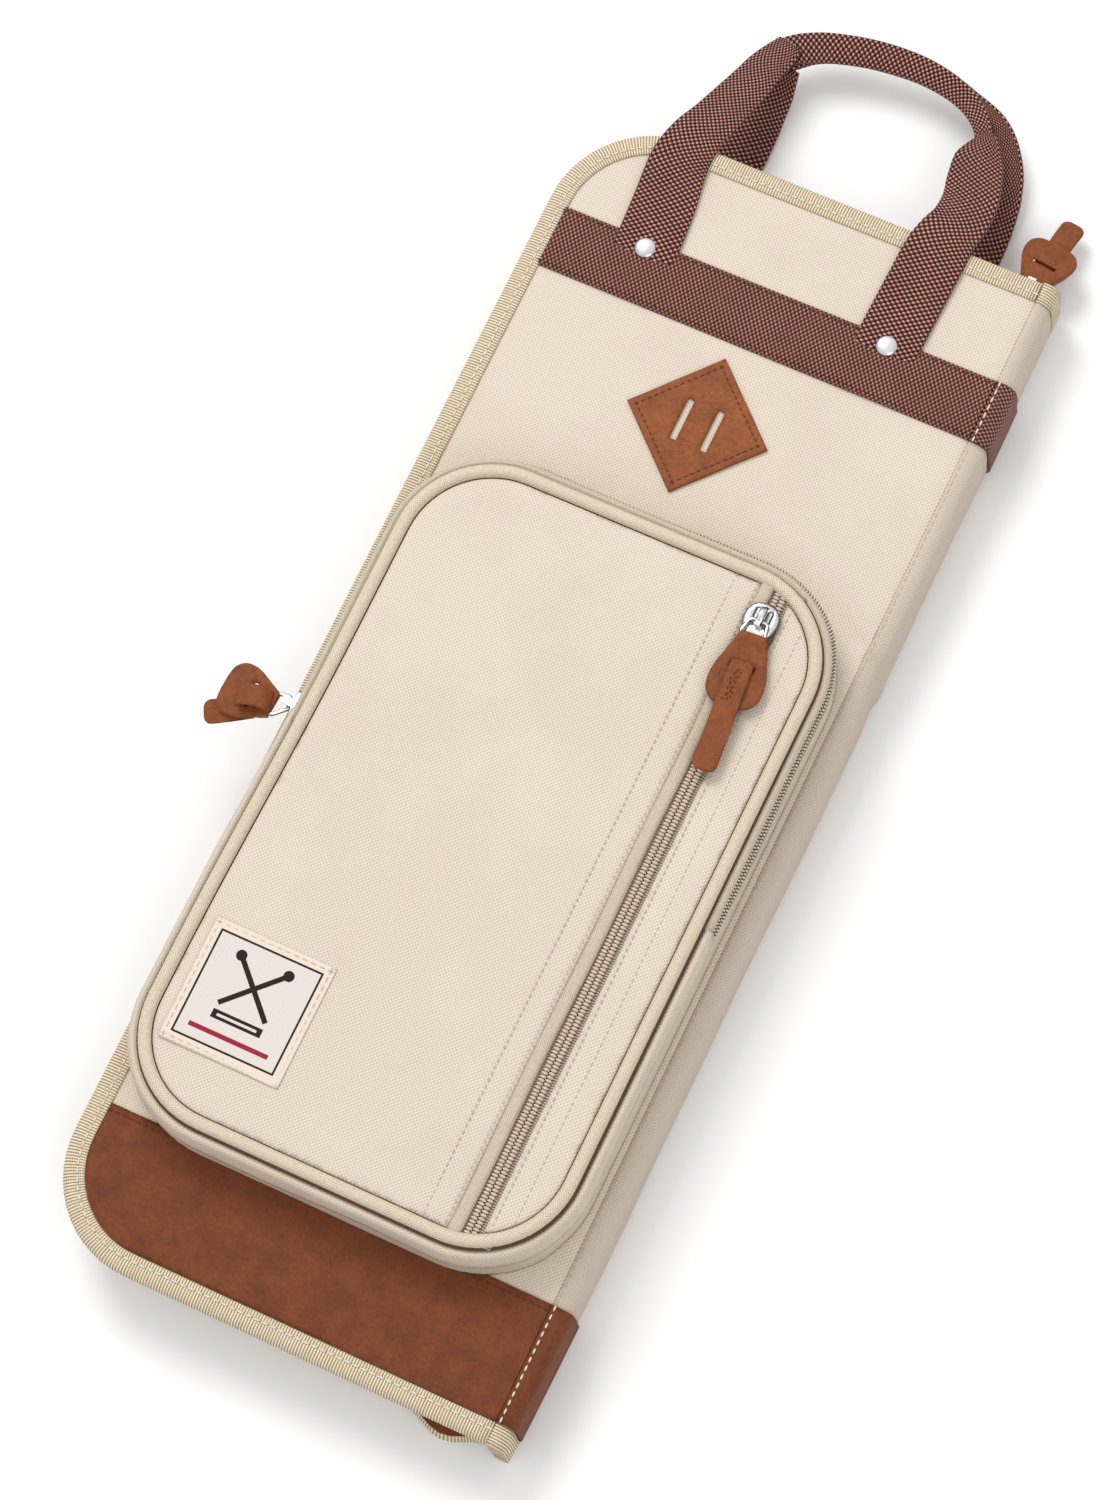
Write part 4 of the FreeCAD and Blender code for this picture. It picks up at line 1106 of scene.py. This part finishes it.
def build_pull(name, place, paddle_end, strap_end, shift=0.0, droop=0.0, behind=False, swing=0.0):
    """A leather paddle hung on the pull's ring, with a strap through its slot."""
    start, end = -5.4 + shift, -strap_end + shift
    length = start + paddle_end - shift
    slot_y = start - 0.45 * length
    bar = Matrix.Translation((0, -6.0, 0))

    def swung(degrees):
        """The pull's place, turned about the ring's bar."""
        return place @ bar @ Matrix.Rotation(math.radians(degrees), 4, "Z") @ bar.inverted()

    def bend(x, y):
        fall = np.clip((-8.0 - y) / 26.0, 0, None) ** 1.2
        return 0.35 * np.sin(y / 7.0) - 0.004 * x * x - droop * fall

    def half_thick(y, depth):
        return 0.95 + 1.1 * np.clip((y + 10.5) / 3.0, 0, 1) - 0.45 * np.exp(-depth / 0.5)

    def lift(x, y):
        """The height of the strap's underside, which humps where it leaves the slot."""
        hump = 0.5 * np.sin(np.clip((slot_y - y) / 5.0, 0, math.pi))
        return (-2.4 - hump if behind else 1.1 + hump) + bend(x, y)

    piece = Piece()
    panel(
        piece, paddle_outline(start, length),
        lambda x, y, depth: bend(x, y) + half_thick(y, depth),
        lambda x, y, depth: bend(x, y) - half_thick(y, depth),
        LEATHER_PULL, step=1.6, holes=[rectangle(-4.9, slot_y - 1.0, 4.9, slot_y + 0.7)], place=swung(swing),
    )
    strap = [(-4.3, slot_y + 1.8), (-4.7, end + 3.2)] + arc(-1.7, end + 3.0, 3.0, 180, 270, 6)
    strap += arc(1.7, end + 3.0, 3.0, 270, 360, 6) + [(4.3, slot_y + 1.8)]
    panel(
        piece, strap,
        lambda x, y, depth: lift(x, y) + 1.25 - 0.4 * np.exp(-depth / 0.5),
        lambda x, y, depth: lift(x, y),
        LEATHER_PULL, step=1.6, place=place,
    )
    if not behind:
        zigzag = []
        for k in range(20):
            x, y = 1.6 * math.sin(k * 1.9), slot_y - 2.5 - 0.62 * k
            zigzag.append(tuple(place @ Vector((x - 0.6, y, lift(x, y) + 1.3))))
        stitches(piece, zigzag, THREAD_BROWN, pitch=1.7, thick=0.34)
    if swing:
        half_way = swung(swing * 0.55)
        wide = tuple(half_way.to_3x3() @ Vector(ACROSS))
        hoop = ((-5.6, 1.4), (-7.4, 4.6), (-11.0, 6.0), (-15.0, 4.9), (-17.6, 1.9), (-16.6, 0.6))
        plan = [(*(half_way @ Vector((0, y, z))), wide, 8.4, 1.3) for y, z in hoop]
        webbing_run(piece, plan, LEATHER_PULL, step=0.9)
    piece.make(name + "_leather", "leather", name, [name + "_leather"])


def build_pulls():
    def place(x, y, z, degrees):
        return Matrix.Translation((x, y, z)) @ Matrix.Rotation(math.radians(degrees), 4, "Z")

    build_pull("face_pull", place(55.5, 68.0, 57.4, 5.0), 34.0, 60.0)
    main = place(84.5, 242.7, 16.05, 173.0)
    build_pull("main_pull", main, 25.2, 38.0, shift=5.5, droop=8.0, behind=True)
    pocket = place(-92.1, -27.0, 45.4, -63.0)
    build_pull("pocket_pull", pocket, 27.0, 32.5, shift=0.8, droop=5.0, behind=True, swing=-30.0)


def teardrop():
    """A zip slider's outline, round at its head and narrow where its ring hangs."""
    half = (
        (0.1, 7.2), (3.6, 6.4), (5.9, 4.0), (6.6, 0.8), (6.1, -2.4), (4.9, -5.0), (3.2, -6.8), (0.1, -7.3),
    )
    right = smooth_path([(x, y, 0) for x, y in half], 0.8)[:, :2]
    return [tuple(p) for p in right] + [(-x, y) for x, y in right[::-1]]


def build_rivet_caps():
    caps = Piece()
    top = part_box("front_rivets")[1][2] * 1000
    profile = (
        (0.05, 0.5), (1.4, 0.46), (2.6, 0.3), (3.5, 0.02), (4.1, -0.35),
        (4.5, -0.85), (4.6, -1.1), (4.95, -1.0), (5.25, -1.25), (5.3, -1.8),
    )
    for x in LEGS:
        circles = [(ellipse(r, r, 32), z) for r, z in profile]
        rings = [[(x + a, 193.0 + b, top + z) for a, b in circle] for circle, z in circles]
        loft(caps, rings, METAL, closed_u=True)
    caps.make("front_rivet_caps", "metal", "front_cover", ["front_rivets"])


def build_slider_shell():
    """The crowned shell on the face slider, with its two wells and the bridge that holds the ring."""
    shell = Piece()
    wells = [rectangle(x - 0.6, -1.6, x + 0.6, 4.6) for x in (-2.3, 2.3)]

    def crown(x, y, depth):
        return 55.7 + 0.8 * (1 - np.exp(-depth / 0.7))

    place = Matrix.Translation(SLIDER)
    panel(shell, teardrop(), crown, 54.3, METAL, step=0.8, holes=wells, place=place)
    arch = [(0, -2.6, 56.2), (0, -1.6, 58.2), (0, 1.0, 59.2), (0, 4.0, 58.6), (0, 5.6, 56.4)]
    bridge = smooth_path(arch, 0.7) + np.array(SLIDER)
    sweep(shell, bridge, ellipse(1.5, 0.75, 12), METAL, normals=each(ACROSS, len(bridge)))
    shell.make("face_slider_shell", "metal", "face_slider")


# Handles -----------------------------------------------------------------------------------------


def webbing_run(piece, plan, mat, step=2.4):
    """One run of webbing through points, each with its width direction, width and thickness."""
    points = np.array([stop[:3] for stop in plan], float)
    path = smooth_path(points, step)
    share = lengths(points) / lengths(points)[-1]
    along = np.linspace(0, 1, len(path))
    wide = np.stack([np.interp(along, share, [stop[3][k] for stop in plan]) for k in range(3)], -1)
    t = unit(np.gradient(path, axis=0))
    wide = unit(wide - (wide * t).sum(1)[:, None] * t)

    def section(s):
        a = np.interp(s, share, [stop[4] for stop in plan]) / 2
        b = np.interp(s, share, [stop[5] for stop in plan]) / 2
        top = [(-a, -b * 0.5), (-a + 0.3, b * 0.6), (-a + 1.2, b), (-a * 0.4, b * 1.25), (a * 0.4, b * 1.25)]
        return top + [(a - 1.2, b), (a - 0.3, b * 0.6), (a, -b * 0.5), (a - 1.0, -b), (0, -b), (-a + 1.0, -b)]

    sweep(piece, path, section, mat, normals=wide, ups=np.cross(wide, t))


# Each handle's runs, as points with a width direction, a width and a thickness
FRONT_HANDLE = (
    (
        (-52.0, 184.0, 30.2, ACROSS, 25, 1.2), (-52.0, 196.0, 31.5, ACROSS, 25, 1.2),
        (-53.2, 212.0, 31.6, ACROSS, 24.6, 1.2), (-55.2, 230.0, 31.8, ACROSS, 23.2, 1.2),
        (-53.9, 242.0, 31.4, ACROSS, 21.2, 1.2), (-51.3, 252.0, 29.2, ACROSS, 19.2, 1.3),
        (-49.0, 262.0, 26.2, (0.97, -0.24, 0.05), 18.0, 1.4),
        (-46.4, 273.0, 23.2, (0.95, -0.3, 0.05), 16.8, 1.6),
        (-44.4, 283.0, 20.8, (0.94, -0.33, 0.1), 15.5, 1.9),
        (-41.4, 291.5, 19.2, (0.93, -0.35, 0.1), 13.5, 2.1),
        (-40.2, 296.0, 18.7, (0.93, -0.35, 0.1), 11.0, 2.0),
    ),
    (
        (-43.5, 291.5, 17.4, (0.55, -0.83, 0), 10.5, 2.4),
        (-36.5, 296.3, 17.2, (0.45, -0.87, -0.2), 12.0, 2.6),
        (-26.0, 301.2, 17.0, (0.3, -0.93, -0.25), 12.0, 2.7),
        (-9.0, 305.4, 16.8, (0.08, -0.95, -0.3), 11.4, 2.7),
        (8.0, 306.6, 16.8, (0, -0.95, -0.3), 10.8, 2.7), (22.0, 304.8, 17.0, (-0.12, -0.94, -0.3), 9.8, 2.7),
        (33.0, 300.6, 17.6, (-0.4, -0.88, -0.2), 8.6, 2.6), (40.5, 294.5, 18.6, (-0.7, -0.7, 0), 7.4, 2.4),
        (44.5, 288.0, 19.8, (-0.85, -0.5, 0), 6.4, 2.2),
    ),
    (
        (45.5, 291.0, 20.4, BACKWARDS, 6.0, 2.2), (46.2, 286.0, 21.2, BACKWARDS, 12.0, 2.0),
        (46.8, 279.0, 22.8, BACKWARDS, 19.5, 1.7), (49.0, 270.0, 24.8, (-0.98, -0.15, 0), 21.2, 1.5),
        (51.6, 260.0, 27.2, BACKWARDS, 21.6, 1.4), (51.8, 250.0, 29.6, (-1, 0, 0.1), 21.6, 1.4),
        (50.2, 242.5, 31.4, BACKWARDS, 23.4, 1.3), (49.2, 234.0, 31.8, BACKWARDS, 25, 1.2),
        (48.8, 222.0, 31.6, BACKWARDS, 25, 1.2), (48.3, 208.0, 31.5, BACKWARDS, 25, 1.2),
        (48.0, 196.0, 31.5, BACKWARDS, 25, 1.2), (48.0, 184.0, 30.2, BACKWARDS, 25, 1.2),
    ),
)
BACK_HANDLE = (
    (
        (-52.0, 186.0, 2.9, ACROSS, 25, 1.1), (-52.0, 197.5, 0.9, ACROSS, 25, 1.1),
        (-50.0, 215.0, 0.8, ACROSS, 25, 1.1), (-47.0, 236.0, 0.9, ACROSS, 25, 1.1),
        (-44.2, 253.0, 1.5, ACROSS, 24.5, 1.2), (-43.0, 268.0, 3.0, (0.99, -0.1, 0), 22.0, 1.4),
        (-41.0, 280.0, 7.0, (0.95, -0.3, 0), 18.0, 1.7), (-39.5, 290.0, 11.6, (0.93, -0.35, 0), 12.0, 2.2),
    ),
    (
        (-41.0, 291.0, 12.4, (0.6, -0.8, 0), 10.0, 2.4), (-31.0, 299.6, 13.2, (0.5, -0.85, 0), 10.8, 2.6),
        (-18.0, 304.6, 13.6, (0.2, -0.95, -0.2), 10.8, 2.7), (0.0, 307.2, 13.8, (0, -0.96, -0.25), 10.4, 2.7),
        (18.0, 306.8, 13.8, (0, -0.96, -0.25), 9.4, 2.7), (33.0, 303.2, 13.6, (-0.25, -0.93, -0.2), 8.4, 2.6),
        (45.6, 298.5, 13.0, (-0.5, -0.85, -0.1), 8.4, 2.4), (54.2, 289.5, 10.8, (-0.8, -0.55, 0), 9.4, 2.0),
        (58.8, 278.0, 7.6, (-0.97, -0.2, 0), 11.6, 1.6), (58.0, 266.0, 4.2, BACKWARDS, 18.2, 1.3),
        (55.4, 252.0, 1.6, BACKWARDS, 24.5, 1.1), (50.5, 234.0, 0.8, BACKWARDS, 25, 1.1),
        (48.0, 215.0, 0.8, BACKWARDS, 25, 1.1), (48.0, 197.5, 0.9, BACKWARDS, 25, 1.1),
        (48.0, 186.0, 2.9, BACKWARDS, 25, 1.1),
    ),
)


def build_handles():
    """Each handle is one strap, its grip folded lengthwise."""
    for side, runs in (("front", FRONT_HANDLE), ("back", BACK_HANDLE)):
        piece = Piece()
        for plan in runs:
            webbing_run(piece, plan, WEBBING)
        name = side + "_handle"
        blend = (side + "_cover", name, (0, 0.196, 0), (0, 0.200, 0))
        piece.make(name + "_webbing", "webbing", blend=blend, replaces=[name])


for side in ("back", "front"):
    build_cover(side)
build_spine()
build_spine_trim()
build_main_zip()
build_inside()
build_wall()
build_pocket_zip()
build_piping()
build_pocket_face()
build_face_zip()
build_label()
build_lash_patch()
build_pulls()
build_handles()
build_rivet_caps()
build_slider_shell()

# Hardware that is left showing is polished, and other CAD nodes take the band's cloth
for node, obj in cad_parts.items():
    metal = any(word in node for word in ("rivet", "slider", "ring", "washer"))
    obj.data.materials.clear()
    obj.data.materials.append(METAL if metal else WEBBING_BAND)
    if metal:
        obj.data.shade_smooth()
    else:
        obj.data.polygons.foreach_set("use_smooth", np.ones(len(obj.data.polygons), bool))


# Floor, light and camera -------------------------------------------------------------------------


floor_look = Look("floor_paper", rough=0.9, uv=False)
floor_look.colour((0.94, 0.94, 0.94))
bpy.ops.mesh.primitive_plane_add(size=12.0, location=(0, 0, -0.0006))
floor = bpy.context.object
floor.name = "floor"
floor.data.materials.append(floor_look.mat)


def area_light(name, place, target, size, power):
    light = bpy.data.lights.new(name, "AREA")
    light.shape = "DISK"
    light.size = size
    light.energy = power
    obj = bpy.data.objects.new(name, light)
    obj.location = place
    obj.rotation_euler = (Vector(target) - Vector(place)).to_track_quat("-Z", "Y").to_euler()
    bpy.context.scene.collection.objects.link(obj)


area_light("key", (-1.1, 1.0, 2.0), (0, 0, 0), 1.2, 29.0)
area_light("fill", (1.3, -0.9, 1.8), (0, 0, 0), 1.6, 9.0)

# A white studio, grey near and below the horizon
world = bpy.data.worlds.new("studio")
world.use_nodes = True
sky = world.node_tree
way = sky.nodes.new("ShaderNodeTexCoord")
split = sky.nodes.new("ShaderNodeSeparateXYZ")
fade = sky.nodes.new("ShaderNodeValToRGB")
for stop, place, grey in zip(fade.color_ramp.elements, (0.12, 0.5), ((0.30, 0.30, 0.31), (1, 1, 1))):
    stop.position = place
    stop.color = (*grey, 1)
sky.links.new(way.outputs["Generated"], split.inputs[0])
sky.links.new(split.outputs[2], fade.inputs[0])
sky.links.new(fade.outputs[0], sky.nodes["Background"].inputs[0])
sky.nodes["Background"].inputs[1].default_value = 0.84
bpy.context.scene.world = world
bpy.context.scene.view_settings.view_transform = "Standard"

camera_data = bpy.data.cameras.new("camera")
camera_data.lens = 120.0
camera_data.sensor_width = 36.0
camera_data.clip_start = 0.05
camera = bpy.data.objects.new("camera", camera_data)
camera.location = (0.39496, -0.42046, 1.76865)
camera.rotation_euler = [math.radians(angle) for angle in (17.4597, 5.5905, 25.7104)]
bpy.context.scene.collection.objects.link(camera)
bpy.context.scene.camera = camera

bpy.context.view_layer.update()
